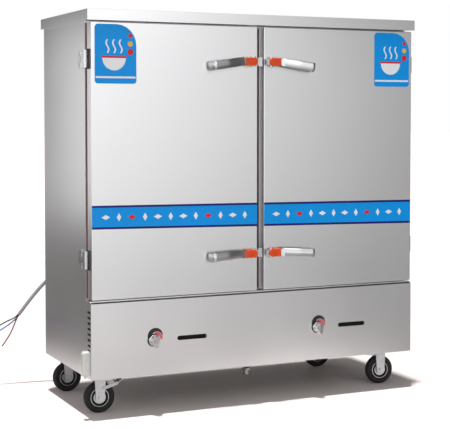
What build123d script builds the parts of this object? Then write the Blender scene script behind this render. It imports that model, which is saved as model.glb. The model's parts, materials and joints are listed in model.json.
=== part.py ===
from build123d import *
import math
import os

os.makedirs("parts", exist_ok=True)

# Rice steamer cabinet on four swivel casters, in millimetres, +Z up.
# The front faces -Y, X runs to the right as seen from the front, and the origin lies on the floor
# under the middle of the object.

# Overall sizes of the cabinet body
CABINET_WIDTH = 1400.0
BODY_DEPTH = 588.0
CABINET_HEIGHT = 1530.0
BASE_CLEARANCE = 155.0
SHEET = 1.2
LINER_SHEET = 1.0

# Top cover
CAP_HEIGHT = 41.0
CAP_OVERHANG = 10.0
CAP_FRONT_OVERHANG = 3.0

# Doors, their rubber gaskets and the frame behind them
DOOR_THICKNESS = 45.0
DOOR_EDGE_INSET = 4.0
DOOR_TOP_GAP = 6.0
DOOR_MIDDLE_GAP = 28.0
DOOR_ABOVE_PANEL = 13.0
DOOR_PAN_DEPTH = 20.0
GASKET_THICKNESS = 15.0
GASKET_WIDTH = 24.0
GASKET_INSET = 3.0
GASKET_CLEARANCE = 0.3
MULLION_WIDTH = 60.0
DOORWAY_INSET = 62.0
DOORWAY_ABOVE_DOOR_BOTTOM = 88.0
DOORWAY_BELOW_CAP = 49.0
DOORWAY_RETURN = 52.0
SILL_THICKNESS = 5.0
SILL_TOP_GAP = 4.0
SILL_SETBACK = 10.0

# Lower front panel with its two inspection slots
PANEL_HEIGHT = 284.0
PANEL_RETURN = 4.0
PANEL_SEAM = 1.0
PANEL_BOTTOM_RETURN = 22.0
LEDGE_ABOVE_PANEL = 7.0
SLOT_LENGTH = 125.0
SLOT_HEIGHT = 17.0
SLOT_FROM_KNOB = 160.0

# Louvre slots in the side panels
LOUVRE_COUNT = 8
LOUVRE_LENGTH = 36.0
LOUVRE_HEIGHT = 9.0
LOUVRE_PITCH = 20.7
LOUVRE_BELOW_PANEL_TOP = 33.5
LOUVRE_SETBACK = 25.0

# Vents in the back panel
VENT_COUNT = 8
VENT_ROWS = 2
VENT_LENGTH = 70.0
VENT_HEIGHT = 8.0
VENT_PITCH = 20.0
VENT_SPREAD = 300.0
VENT_ABOVE_BASE = 95.0
VENT_COLUMN_STEP = 98.0
BACK_FLANGE = 20.0

# Base frame of welded rectangular tube, with the posts and bearers that carry the tank
RAIL_WALL = 2.0
RAIL_HEIGHT = 35.0
SIDE_RAIL_WIDTH = 160.0
CROSS_RAIL_WIDTH = 35.0
BURNER_RAIL_WIDTH = 30.0
FRAME_SETBACK = 26.0
POST_SIZE = 30.0

# Steam chamber, its tank and its insulation
SIDE_INSULATION = 50.0
BACK_INSULATION = 38.0
TANK_ABOVE_PANEL = 14.0
TANK_HEIGHT = 82.0
RACK_LEVELS = 12
RACK_ABOVE_TANK = 55.0
RACK_TOP_ROOM = 73.8
RACK_POST_DEPTH = 20.0
RACK_WALL_POST = 10.5
RACK_MIDDLE_POST = 32.7
RACK_RAIL_LEG = 14.0
RACK_RAIL_HEIGHT = 16.0
RACK_RAIL_SHEET = 1.5
RACK_SETBACK = 8.0
TRAY_END_ROOM = 17.8
TRAY_HEIGHT = 45.0
TRAY_RIM = 15.0
TRAY_SHEET = 1.0
TRAY_SIDE_CLEARANCE = 0.8
TRAY_LEVELS = (0, 1, 2)

# Gas side
KNOB_SPACING = 706.0
KNOB_MIDDLE = -99.0
KNOB_ABOVE_BASE = 133.0
BURNER_ABOVE_BASE = 180.0
BURNER_TUBE_RADIUS = 17.0
BURNER_TUBE_SPACING = 120.0
BURNER_TUBE_COUNT = 3
BURNER_FRONT = 130.0
BURNER_REAR_SETBACK = 88.0
BURNER_HEADER_LENGTH = 380.0
BURNER_HEADER_SIZE = 40.0
MANIFOLD_RADIUS = 9.0
MANIFOLD_SETBACK = 86.0
VALVE_SIZE = 32.0
VALVE_FRONT = 24.0
GAS_INLET_INSET = 140.0
GAS_INLET_RADIUS = 10.5
INLET_NUT = 8.0
INLET_NUT_RIM = 6.0
PIPE_OUTSIDE = 34.0

# Knobs on push-and-turn stems
STEM_RADIUS = 4.0
SHAFT_CLEARANCE = 0.06
STEM_PUSH = 3.0
STEM_FRONT = 22.0
STEM_LENGTH = 62.0
STEM_HOLE_CLEARANCE = 2.0
KNOB_RADIUS = 22.0
KNOB_SKIRT = 7.0
KNOB_DEPTH = 33.0
KNOB_PANEL_GAP = 5.0
KNOB_GRIP_WIDTH = 13.0
KNOB_TAPER = 4.0
KNOB_NOSE = 27.0

# Immersion heaters in the tank
HEATER_RADIUS = 6.0
HEATER_BEND = 25.0
HEATER_ABOVE_TANK_BOTTOM = 37.0
HEATER_FRONT = 160.0
HEATER_FLANGE_RADIUS = 34.0
HEATER_FLANGE = 6.0
HEATER_CAP_DEPTH = 24.0

# Water connections
WATER_INLET_INSET = 230.0
WATER_INLET_BELOW_RIM = 19.0
WATER_INLET_RADIUS = 9.0
WATER_PIPE_RADIUS = 8.0
WATER_PIPE_WALL = 2.0
DRAIN_X = 34.0
DRAIN_SETBACK = 200.0
DRAIN_RADIUS = 13.5
DRAIN_WALL = 3.0
DRAIN_VALVE_DROP = 35.0
DRAIN_VALVE_RADIUS = 21.0
DRAIN_TAIL = 42.0
DRAIN_NUT = 10.0
DRAIN_NUT_RIM = 5.0
DRAIN_NECK = 4.0
DRAIN_STEM = 12.0
DRAIN_STUB_RADIUS = 5.0
DRAIN_LEVER_LENGTH = 84.0
DRAIN_LEVER_WIDTH = 14.0
DRAIN_LEVER_THICKNESS = 3.0
DRAIN_LEVER_BOSS = 2.0
DRAIN_GRIP_BUILD = 3.0

# White housing on the left side panel
IGNITION_WIDTH = 26.0
IGNITION_DEPTH = 28.0
IGNITION_SETBACK = 17.0
IGNITION_ABOVE_BASE = 14.0
IGNITION_HEIGHT = 91.0
IGNITION_WALL = 2.0
IGNITION_CROWN = 11.0
IGNITION_CORNER = 6.0
IGNITION_NIPPLE = 5.0
IGNITION_NIPPLE_LENGTH = 10.0

# Hinges
HINGE_BELOW_DOOR_TOP = 136.0
HINGE_ABOVE_DOOR_BOTTOM = 148.0
HINGE_TALL = 66.0
HINGE_AXIS_OUT = 9.0
HINGE_AXIS_SETBACK = 66.0
HINGE_PIN_RADIUS = 4.0
HINGE_KNUCKLE_RADIUS = 8.0
HINGE_GAP = 0.3
HINGE_PLATE = 4.0
HINGE_PLATE_LENGTH = 60.0
HINGE_BLOCK_FRONT = 26.0
HINGE_BLOCK_REAR = 56.0
HINGE_BLOCK_OUT = 15.0
HINGE_SCREW_RADIUS = 2.5
HINGE_SCREW_HEAD_RADIUS = 5.0
HINGE_SCREW_HEAD = 2.0

# Latch levers, each on a bracket near its door's edge, and the keeper between the doors
LATCH_PIVOT_X = 38.0
LATCH_PIVOT_OUT = 15.0
LATCH_PIN_RADIUS = 4.0
LATCH_HUB_RADIUS = 9.0
LATCH_BODY_HEIGHT = 30.0
LATCH_EAR = 3.5
LATCH_EAR_GAP = 0.4
LATCH_EAR_RADIUS = 8.0
LATCH_BASE = 3.0
LATCH_BASE_OUTER = 34.0
LATCH_BASE_INNER = 13.0
LATCH_BASE_MARGIN = 2.0
LATCH_NOSE = 20.0
LATCH_NOSE_FRONT = 9.0
LATCH_NOSE_BACK = 3.0
LATCH_ARM = 50.0
LATCH_ARM_FRONT = 12.0
LATCH_ARM_BACK = 7.0
LATCH_BLADE_INSET = 3.0
LATCH_COVER_OUTER = 37.0
LATCH_COVER_INNER = 11.0
LATCH_COVER_FRONT = 18.0
LATCH_COVER_BACK = 2.0
LATCH_COVER_ROUND = 13.0
LATCH_COVER_EDGE = 2.0
GRIP_START = 45.0
GRIP_START_OUT = 9.5
GRIP_SHOULDER = 115.0
GRIP_SHOULDER_OUT = 24.0
GRIP_LENGTH = 181.0
GRIP_OUT = 30.0
GRIP_RETURN = 8.0
GRIP_RETURN_IN = 4.0
GRIP_BOW_RADIUS = 140.0
GRIP_END_RADIUS = 16.0
GRIP_HEIGHT = 34.0
GRIP_THICKNESS = 5.0
GRIP_CORNER = 2.0
GRIP_DROOP = {"upper": 8.6, "lower": 3.8}
KEEPER_WIDTH = 18.0
KEEPER_HEIGHT = 36.0
KEEPER_POST = 12.0
KEEPER_POST_INSET = 4.0
KEEPER_PLATE = 3.0
KEEPER_SETBACK = 2.0

# Casters
CASTER_INSET = 110.0
CASTER_FRONT_SETBACK = 132.0
CASTER_REAR_SETBACK = 47.0
CASTER_TRAIL = 35.0
CASTER_ANGLES = {"front_left": 176.0, "rear_left": 184.0, "front_right": -6.0, "rear_right": 172.0}
BRAKED_CASTERS = ("front_left", "rear_left")
CASTER_PLATE_X = 92.0
CASTER_PLATE_Y = 80.0
CASTER_PLATE = 3.0
CASTER_BOLT_X = 70.0
CASTER_BOLT_Y = 58.0
BOLT_RADIUS = 4.0
BOLT_HEAD = 5.0
BOLT_HEAD_RADIUS = 6.5
HOLE_CLEARANCE = 0.2
CASTER_HEAD = 35.0
WHEEL_WIDTH = 30.0
TYRE_SHOULDER = 7.0
TYRE_CROWN = 5.0
TYRE_SEAT_INSET = 2.0
RIM_RADIUS = 36.0
RIM_LIP = 2.5
RIM_INSET = 3.0
RIM_FLANGE = 2.0
RIM_WEB = 2.0
HUB_RADIUS = 13.0
HUB_DISC_RADIUS = 24.0
HUB_CLEARANCE = 0.7
AXLE_RADIUS = 6.0
AXLE_CLEARANCE = 0.05
AXLE_NUT_RADIUS = 9.0
AXLE_NUT = 5.0
FORK_INSIDE = 18.5
FORK_SHEET = 3.0
FORK_HUB_RADIUS = 15.0
LEG_TOP_HALF = 21.0
LEG_LOW_HALF = 17.0
LEG_SHOULDER = 22.0
CROWN_BELOW_BASE = 25.0
CROWN_SHEET = 4.0
CROWN_NOSE = 26.0
RACE_RADIUS = 30.0
RACE_HEIGHT = 6.0
RACE_STEP = 5.0
KINGPIN_RADIUS = 6.0
KINGPIN_HEAD = 4.0
PEDAL_PIVOT = 22.0
PEDAL_PIVOT_DROP = 33.0
PEDAL_PIN_RADIUS = 3.0
PEDAL_PIN_HEAD = 1.5
PEDAL_CHEEK = 2.5
PEDAL_EYE_RADIUS = 7.0
PEDAL_SHEET = 3.0
PEDAL_BEND = 5.0

# Power cable and its bare-ended cores
CABLE_RADIUS = 7.5
CORE_RADIUS = 2.8
GLAND_INSET = 100.0
GLAND_ABOVE_TANK_BOTTOM = 27.0
GLAND_OUT = 30.0
GLAND_THREAD = 11.0
GLAND_HEX = 15.0
GLAND_NUT = 10.0
TERMINAL_WIDTH = 90.0
TERMINAL_DEPTH = 34.0
TERMINAL_HEIGHT = 80.0
TERMINAL_WALL = 2.0
TERMINAL_STRIP = 16.0

# Worked out from the sizes above
HALF = CABINET_WIDTH / 2
FRONT = -BODY_DEPTH / 2
REAR = BODY_DEPTH / 2
BODY_FRONT = FRONT + DOOR_THICKNESS + GASKET_THICKNESS
CAP_BOTTOM = CABINET_HEIGHT - CAP_HEIGHT
BODY_TOP = CABINET_HEIGHT - SHEET
PANEL_TOP = BASE_CLEARANCE + PANEL_HEIGHT
SIDE_LEDGE = PANEL_TOP + LEDGE_ABOVE_PANEL
DOOR_BOTTOM = PANEL_TOP + DOOR_ABOVE_PANEL
DOOR_TOP = CAP_BOTTOM - DOOR_TOP_GAP
DOORWAY_OUTER = HALF - DOORWAY_INSET
DOORWAY_BOTTOM = DOOR_BOTTOM + DOORWAY_ABOVE_DOOR_BOTTOM
DOORWAY_TOP = CAP_BOTTOM - DOORWAY_BELOW_CAP
INNER_HALF = HALF - SHEET
BACK_FACE = REAR - 2 * SHEET
LINER_HALF = INNER_HALF - SIDE_INSULATION
LINER_FRONT = BODY_FRONT + DOORWAY_RETURN
LINER_BACK = BACK_FACE - BACK_INSULATION
LINER_TOP = BODY_TOP - SIDE_INSULATION
RAIL_TOP = BASE_CLEARANCE + RAIL_HEIGHT
TANK_BOTTOM = PANEL_TOP + TANK_ABOVE_PANEL
TANK_TOP = TANK_BOTTOM + TANK_HEIGHT
RACK_FIRST_LEVEL = TANK_TOP + RACK_ABOVE_TANK
RACK_PITCH = (LINER_TOP - LINER_SHEET - RACK_TOP_ROOM - RACK_FIRST_LEVEL) / (RACK_LEVELS - 1)
RACK_OUTER_POST = LINER_HALF - LINER_SHEET - RACK_WALL_POST
TRAY_CENTRE = (RACK_OUTER_POST + RACK_MIDDLE_POST) / 2
TRAY_WIDTH = RACK_OUTER_POST - RACK_MIDDLE_POST - 2 * (TRAY_SIDE_CLEARANCE + RACK_RAIL_SHEET)
TRAY_DEPTH = LINER_BACK - LINER_FRONT - 2 * TRAY_END_ROOM
KNOB_HEIGHT = BASE_CLEARANCE + KNOB_ABOVE_BASE
BURNER_CENTRE = TRAY_CENTRE
BURNER_AXIS_HEIGHT = BASE_CLEARANCE + BURNER_ABOVE_BASE
BURNER_END = REAR - BURNER_REAR_SETBACK
GAS_INLET_X = HALF - GAS_INLET_INSET
WATER_INLET_X = HALF - WATER_INLET_INSET
WATER_INLET_HEIGHT = TANK_TOP - WATER_INLET_BELOW_RIM
HEATER_CENTRE = TRAY_CENTRE
HEATER_HEIGHT = TANK_BOTTOM + HEATER_ABOVE_TANK_BOTTOM
DRAIN_VALVE_HEIGHT = BASE_CLEARANCE - DRAIN_VALVE_DROP
DRAIN_END = DRAIN_VALVE_HEIGHT - DRAIN_TAIL
GLAND_X = -HALF + GLAND_INSET
GLAND_HEIGHT = TANK_BOTTOM + GLAND_ABOVE_TANK_BOTTOM
WHEEL_RADIUS = (BASE_CLEARANCE - CASTER_HEAD) / 2
CROWN_TOP = BASE_CLEARANCE - CROWN_BELOW_BASE
PEDAL_PIVOT_Z = CROWN_TOP - PEDAL_PIVOT_DROP
HINGE_X = HALF + HINGE_AXIS_OUT
HINGE_Y = FRONT + HINGE_AXIS_SETBACK
HINGE_HEIGHTS = (DOOR_TOP - HINGE_BELOW_DOOR_TOP, DOOR_BOTTOM + HINGE_ABOVE_DOOR_BOTTOM)
LATCH_Y = FRONT - LATCH_PIVOT_OUT
KNOB_XS = {"left": KNOB_MIDDLE - KNOB_SPACING / 2, "right": KNOB_MIDDLE + KNOB_SPACING / 2}
SIDES = {"left": -1, "right": 1}
ROWS = {"upper": HINGE_HEIGHTS[0], "lower": HINGE_HEIGHTS[1]}


def block(x0, x1, y0, y1, z0, z1):
    """A box between two corners, given as low and high values of each axis."""
    size = Box(abs(x1 - x0), abs(y1 - y0), abs(z1 - z0))
    return Pos((x0 + x1) / 2, (y0 + y1) / 2, (z0 + z1) / 2) * size


def rod(start, end, radius):
    """A round bar from one point to another."""
    way = Vector(*end) - Vector(*start)
    return Part() + Solid.make_cylinder(radius, way.length, Plane(origin=start, z_dir=way))


def slot_cutter(centre, along, through, length, height, depth):
    """A stadium-shaped cutter with its length along one direction, centred in its depth."""
    plane = Plane(origin=centre, x_dir=along, z_dir=through)
    return extrude(plane * SlotOverall(length, height), depth / 2, both=True)


def band(points, radii, section_width, section_thickness, across, corner=0.0):
    """A strip of even width that follows a bent line, with its width along the given direction."""
    path = FilletPolyline(*points, radius=radii)
    plane = Plane(origin=path @ 0, x_dir=across, z_dir=path % 0)
    section = Rectangle(section_width, section_thickness)
    if corner:
        section = fillet(section.vertices(), corner)
    return sweep(plane * section, path)


def on_side(shape, side):
    """A shape drawn for the left side, mirrored when it belongs on the right."""
    return shape if side == "left" else mirror(shape, about=Plane.YZ)


def save(name, *shapes):
    """Write the solids of one named sub-part."""
    solids = [solid for shape in shapes for solid in shape.solids()]
    export_step(Compound(solids), f"parts/{name}.step")


def make_top_cover():
    outside = HALF + CAP_OVERHANG
    front = FRONT - CAP_FRONT_OVERHANG
    cap = block(-outside, outside, front, REAR + CAP_OVERHANG, CAP_BOTTOM, CABINET_HEIGHT)
    inside = outside - SHEET
    hollow_front = FRONT - CAP_FRONT_OVERHANG + SHEET
    hollow_rear = REAR + CAP_OVERHANG - SHEET
    cap -= block(-inside, inside, hollow_front, hollow_rear, CAP_BOTTOM + SHEET, CABINET_HEIGHT - SHEET)
    cap -= block(-HALF, HALF, BODY_FRONT, REAR, CAP_BOTTOM - SHEET, CAP_BOTTOM + 2 * SHEET)
    return cap


def make_side_panel():
    """The left side panel: one folded sheet that steps forward below the doors."""
    front_edge = FRONT + PANEL_RETURN + PANEL_SEAM
    outline = Polyline(
        (front_edge, BASE_CLEARANCE),
        (front_edge, SIDE_LEDGE),
        (BODY_FRONT, SIDE_LEDGE),
        (BODY_FRONT, BODY_TOP),
        (REAR, BODY_TOP),
        (REAR, BASE_CLEARANCE),
        close=True,
    )
    plane = Plane(origin=(-HALF, 0, 0), x_dir=(0, 1, 0), z_dir=(1, 0, 0))
    panel = extrude(plane * make_face(outline), SHEET)
    flange_edge = -HALF + BACK_FLANGE
    panel += block(-HALF + SHEET, flange_edge, BACK_FACE, BACK_FACE + SHEET, BASE_CLEARANCE, BODY_TOP)
    for index in range(LOUVRE_COUNT):
        height = PANEL_TOP - LOUVRE_BELOW_PANEL_TOP - index * LOUVRE_PITCH
        centre = (-HALF, FRONT + LOUVRE_SETBACK, height)
        panel -= slot_cutter(centre, (0, 1, 0), (1, 0, 0), LOUVRE_LENGTH, LOUVRE_HEIGHT, 4 * SHEET)
    return panel


def make_back_panel():
    panel = block(-INNER_HALF, INNER_HALF, REAR - SHEET, REAR, BASE_CLEARANCE, BODY_TOP)
    for side in SIDES.values():
        for row in range(VENT_ROWS):
            for index in range(VENT_COUNT):
                across = side * VENT_SPREAD + (row - (VENT_ROWS - 1) / 2) * VENT_COLUMN_STEP
                centre = (across, REAR, BASE_CLEARANCE + VENT_ABOVE_BASE + index * VENT_PITCH)
                panel -= slot_cutter(centre, (1, 0, 0), (0, 1, 0), VENT_LENGTH, VENT_HEIGHT, 4 * SHEET)
    for x, z, radius in (
        (GLAND_X, GLAND_HEIGHT, GLAND_THREAD),
        (GAS_INLET_X, KNOB_HEIGHT, MANIFOLD_RADIUS),
        (WATER_INLET_X, WATER_INLET_HEIGHT, WATER_PIPE_RADIUS),
    ):
        panel -= rod((x, REAR - 2 * SHEET, z), (x, REAR + SHEET, z), radius + HOLE_CLEARANCE)
    return panel


def make_lower_front_panel():
    panel = block(-HALF, HALF, FRONT, FRONT + PANEL_RETURN, BASE_CLEARANCE, PANEL_TOP)
    panel -= block(-INNER_HALF, INNER_HALF, FRONT + SHEET, FRONT + PANEL_RETURN, BASE_CLEARANCE + SHEET,
                   PANEL_TOP - SHEET)
    back = FRONT + PANEL_RETURN
    panel += block(-INNER_HALF, INNER_HALF, back, BODY_FRONT, PANEL_TOP - SHEET, PANEL_TOP)
    panel += block(-INNER_HALF, INNER_HALF, back, FRONT + PANEL_BOTTOM_RETURN, BASE_CLEARANCE,
                   BASE_CLEARANCE + SHEET)
    stem_hole = STEM_RADIUS + STEM_HOLE_CLEARANCE
    for x in KNOB_XS.values():
        panel -= rod((x, FRONT - SHEET, KNOB_HEIGHT), (x, FRONT + 2 * SHEET, KNOB_HEIGHT), stem_hole)
        centre = (x + SLOT_FROM_KNOB, FRONT, KNOB_HEIGHT)
        panel -= slot_cutter(centre, (1, 0, 0), (0, 1, 0), SLOT_LENGTH, SLOT_HEIGHT, 4 * SHEET)
    return panel


def tube_along(x0, x1, y0, y1, z0, z1, axis):
    """A rectangular tube, open at both ends along the given axis."""
    tube = block(x0, x1, y0, y1, z0, z1)
    wall = RAIL_WALL
    if axis == "x":
        return tube - block(x0, x1, y0 + wall, y1 - wall, z0 + wall, z1 - wall)
    return tube - block(x0 + wall, x1 - wall, y0, y1, z0 + wall, z1 - wall)


def caster_centres():
    """Swivel axis of each caster, with the angle that its wheel trails at."""
    centres = {}
    for side, sign in SIDES.items():
        for row, y in (("front", FRONT + CASTER_FRONT_SETBACK), ("rear", REAR - CASTER_REAR_SETBACK)):
            name = f"{row}_{side}"
            centres[name] = (sign * (HALF - CASTER_INSET), y, CASTER_ANGLES[name])
    return centres


def caster_bolts():
    """Centre of each bolt that holds a caster plate to the base frame."""
    points = []
    for x, y, _ in caster_centres().values():
        for step_x in (-CASTER_BOLT_X / 2, CASTER_BOLT_X / 2):
            for step_y in (-CASTER_BOLT_Y / 2, CASTER_BOLT_Y / 2):
                points.append((x + step_x, y + step_y))
    return points


def make_base_frame():
    low = BASE_CLEARANCE
    front = FRONT + FRAME_SETBACK
    inner = INNER_HALF - SIDE_RAIL_WIDTH
    frame = Part()
    for sign in SIDES.values():
        frame += tube_along(*sorted((sign * inner, sign * INNER_HALF)), front, BACK_FACE, low, RAIL_TOP, "y")
        middle = sign * BURNER_CENTRE
        half_rail = BURNER_RAIL_WIDTH / 2
        rail_front = front + CROSS_RAIL_WIDTH
        rail_rear = BACK_FACE - CROSS_RAIL_WIDTH
        frame += tube_along(middle - half_rail, middle + half_rail, rail_front, rail_rear, low, RAIL_TOP, "y")
    frame += tube_along(-inner, inner, front, front + CROSS_RAIL_WIDTH, low, RAIL_TOP, "x")
    frame += tube_along(-inner, inner, BACK_FACE - CROSS_RAIL_WIDTH, BACK_FACE, low, RAIL_TOP, "x")
    bearer_low = TANK_BOTTOM - POST_SIZE
    for y0, y1, web in (
        (LINER_FRONT, LINER_FRONT + POST_SIZE, LINER_FRONT),
        (LINER_BACK - POST_SIZE, LINER_BACK, LINER_BACK - RAIL_WALL),
    ):
        frame += block(-INNER_HALF, INNER_HALF, y0, y1, TANK_BOTTOM - RAIL_WALL, TANK_BOTTOM)
        frame += block(-INNER_HALF, INNER_HALF, web, web + RAIL_WALL, bearer_low, TANK_BOTTOM)
        for sign in SIDES.values():
            outer = sign * INNER_HALF
            frame += block(outer, outer - sign * POST_SIZE, web, web + RAIL_WALL, RAIL_TOP, TANK_BOTTOM)
            frame += block(outer, outer - sign * RAIL_WALL, y0, y1, RAIL_TOP, TANK_BOTTOM)
    for x, y in caster_bolts():
        frame -= rod((x, y, low - 1), (x, y, low + RAIL_WALL + 1), BOLT_RADIUS + HOLE_CLEARANCE)
    return frame


def make_door_frame():
    """Face frame that the gaskets close on, with a return round each doorway and a drip sill."""
    frame = block(-INNER_HALF, INNER_HALF, BODY_FRONT, BODY_FRONT + SHEET, PANEL_TOP, BODY_TOP)
    for sign in SIDES.values():
        x0, x1 = sorted((sign * MULLION_WIDTH / 2, sign * DOORWAY_OUTER))
        frame += block(x0, x1, BODY_FRONT, LINER_FRONT, DOORWAY_BOTTOM, DOORWAY_TOP)
        frame -= block(x0 + SHEET, x1 - SHEET, BODY_FRONT - 1, LINER_FRONT + 1, DOORWAY_BOTTOM + SHEET,
                       DOORWAY_TOP - SHEET)
    sill_top = DOOR_BOTTOM - SILL_TOP_GAP
    sill_low = sill_top - SILL_THICKNESS
    frame += block(-INNER_HALF, INNER_HALF, FRONT + SILL_SETBACK, BODY_FRONT, sill_low, sill_top)
    return frame


def make_chamber_liner():
    """Welded sheets of the chamber: sides, back, top, and the front face round the two doorways."""
    half = LINER_HALF - LINER_SHEET
    back = LINER_BACK - LINER_SHEET
    face = LINER_FRONT + LINER_SHEET
    ceiling = LINER_TOP - LINER_SHEET
    doorway_low = DOORWAY_BOTTOM + SHEET
    doorway_high = DOORWAY_TOP - SHEET
    jamb = DOORWAY_OUTER - SHEET
    mullion = MULLION_WIDTH / 2 + SHEET
    sheets = [
        block(-LINER_HALF, LINER_HALF, LINER_FRONT, LINER_BACK, ceiling, LINER_TOP),
        block(-half, half, back, LINER_BACK, TANK_TOP, ceiling),
        block(-half, half, LINER_FRONT, face, TANK_TOP, doorway_low),
        block(-half, half, LINER_FRONT, face, doorway_high, ceiling),
        block(-mullion, mullion, LINER_FRONT, face, doorway_low, doorway_high),
    ]
    for sign in SIDES.values():
        sheets.append(block(sign * half, sign * LINER_HALF, LINER_FRONT, LINER_BACK, TANK_TOP, ceiling))
        sheets.append(block(sign * jamb, sign * half, LINER_FRONT, face, doorway_low, doorway_high))
    return sheets


def make_insulation():
    """Slabs between the outer sheets and the liner: two sides, the top and the back."""
    slabs = []
    front = BODY_FRONT + SHEET
    for sign in SIDES.values():
        slabs.append(block(sign * LINER_HALF, sign * INNER_HALF, front, BACK_FACE, TANK_BOTTOM, BODY_TOP))
    slabs.append(block(-LINER_HALF, LINER_HALF, front, BACK_FACE, LINER_TOP, BODY_TOP))
    slabs.append(block(-LINER_HALF, LINER_HALF, LINER_BACK, BACK_FACE, TANK_TOP + SHEET, LINER_TOP))
    return slabs


def rack_rails(wall, inward):
    """The angle rails of one ladder, whose posts end at the given plane and face the given way."""
    rails = []
    front = LINER_FRONT + RACK_SETBACK
    rear = LINER_BACK - RACK_SETBACK
    for level in range(RACK_LEVELS):
        z = RACK_FIRST_LEVEL + level * RACK_PITCH
        web = wall + inward * RACK_RAIL_SHEET
        upright = block(wall, web, front, rear, z, z + RACK_RAIL_HEIGHT)
        rails.append(upright + block(wall, web + inward * RACK_RAIL_LEG, front, rear, z, z + RACK_RAIL_SHEET))
    return rails


def make_tray_racks():
    """Ladders on each side wall and in the middle of the chamber: three posts each, with angle rails."""
    low = RACK_FIRST_LEVEL - RACK_RAIL_HEIGHT
    high = LINER_TOP - LINER_SHEET
    front = LINER_FRONT + RACK_SETBACK
    rear = LINER_BACK - RACK_SETBACK
    middle = (front + rear) / 2
    post_spans = (
        (front, front + RACK_POST_DEPTH),
        (middle - RACK_POST_DEPTH / 2, middle + RACK_POST_DEPTH / 2),
        (rear - RACK_POST_DEPTH, rear),
    )
    pieces = []
    for y0, y1 in post_spans:
        pieces.append(block(-RACK_MIDDLE_POST, RACK_MIDDLE_POST, y0, y1, low, high))
    for sign in SIDES.values():
        for y0, y1 in post_spans:
            pieces.append(block(sign * RACK_OUTER_POST, sign * (LINER_HALF - LINER_SHEET), y0, y1, low, high))
        pieces += rack_rails(sign * RACK_OUTER_POST, -sign)
        pieces += rack_rails(sign * RACK_MIDDLE_POST, sign)
    return pieces


def make_tray(x0, x1, y0, y1, seat):
    """Tray welded from its floor, four walls and the four strips of the rim that rests on the rails."""
    top = seat + TRAY_SHEET
    bottom = top - TRAY_HEIGHT
    floor = bottom + TRAY_SHEET
    west, east = x0 + TRAY_RIM, x1 - TRAY_RIM
    south, north = y0 + TRAY_RIM, y1 - TRAY_RIM
    inner_west, inner_east = west + TRAY_SHEET, east - TRAY_SHEET
    return [
        block(west, east, south, north, bottom, floor),
        block(west, inner_west, south, north, floor, top),
        block(inner_east, east, south, north, floor, top),
        block(inner_west, inner_east, south, south + TRAY_SHEET, floor, top),
        block(inner_west, inner_east, north - TRAY_SHEET, north, floor, top),
        block(x0, west, y0, y1, seat, top),
        block(east, x1, y0, y1, seat, top),
        block(west, east, y0, south, seat, top),
        block(west, east, north, y1, seat, top),
    ]


def make_trays():
    trays = []
    front = (LINER_FRONT + LINER_BACK - TRAY_DEPTH) / 2
    for sign in SIDES.values():
        for level in TRAY_LEVELS:
            seat = RACK_FIRST_LEVEL + level * RACK_PITCH + RACK_RAIL_SHEET
            x0 = sign * TRAY_CENTRE - TRAY_WIDTH / 2
            trays += make_tray(x0, x0 + TRAY_WIDTH, front, front + TRAY_DEPTH, seat)
    return trays


def make_water_tank():
    """Tank welded from five plates, with the bores of its fittings and the inlet pipe."""
    inside = LINER_HALF - SHEET
    floor_top = TANK_BOTTOM + SHEET
    floor = block(-LINER_HALF, LINER_HALF, LINER_FRONT, LINER_BACK, TANK_BOTTOM, floor_top)
    x, y = DRAIN_X, FRONT + DRAIN_SETBACK
    floor -= rod((x, y, TANK_BOTTOM - 1), (x, y, floor_top + 1), DRAIN_RADIUS - DRAIN_WALL)
    front = block(-inside, inside, LINER_FRONT, LINER_FRONT + SHEET, floor_top, TANK_TOP)
    back = block(-inside, inside, LINER_BACK - SHEET, LINER_BACK, floor_top, TANK_TOP)
    for centre in (-HEATER_CENTRE, HEATER_CENTRE):
        for step in (-HEATER_BEND, HEATER_BEND):
            start = (centre + step, LINER_BACK - 2 * SHEET, HEATER_HEIGHT)
            end = (centre + step, LINER_BACK + SHEET, HEATER_HEIGHT)
            back -= rod(start, end, HEATER_RADIUS + HOLE_CLEARANCE)
    x, z = WATER_INLET_X, WATER_INLET_HEIGHT
    back -= rod((x, LINER_BACK - 2 * SHEET, z), (x, LINER_BACK + SHEET, z), WATER_PIPE_RADIUS)
    pieces = [floor, front, back]
    for sign in SIDES.values():
        pieces.append(block(sign * inside, sign * LINER_HALF, LINER_FRONT, LINER_BACK, floor_top, TANK_TOP))
    pipe = rod((x, LINER_BACK - SHEET, z), (x, REAR + INLET_NUT, z), WATER_PIPE_RADIUS)
    pipe += spigot(x, z, WATER_INLET_RADIUS)
    bore = WATER_PIPE_RADIUS - WATER_PIPE_WALL
    pipe -= rod((x, LINER_BACK - 2 * SHEET, z), (x, REAR + INLET_NUT + PIPE_OUTSIDE + 1, z), bore)
    pieces.append(pipe)
    return pieces


def spigot(x, z, radius):
    """Hexagon collar against the back panel with the hose spigot beyond it."""
    nut_end = REAR + INLET_NUT
    collar = Plane(origin=(x, REAR, z), z_dir=(0, 1, 0)) * RegularPolygon(radius + INLET_NUT_RIM, 6)
    return extrude(collar, INLET_NUT) + rod((x, nut_end, z), (x, nut_end + PIPE_OUTSIDE, z), radius)


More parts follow.
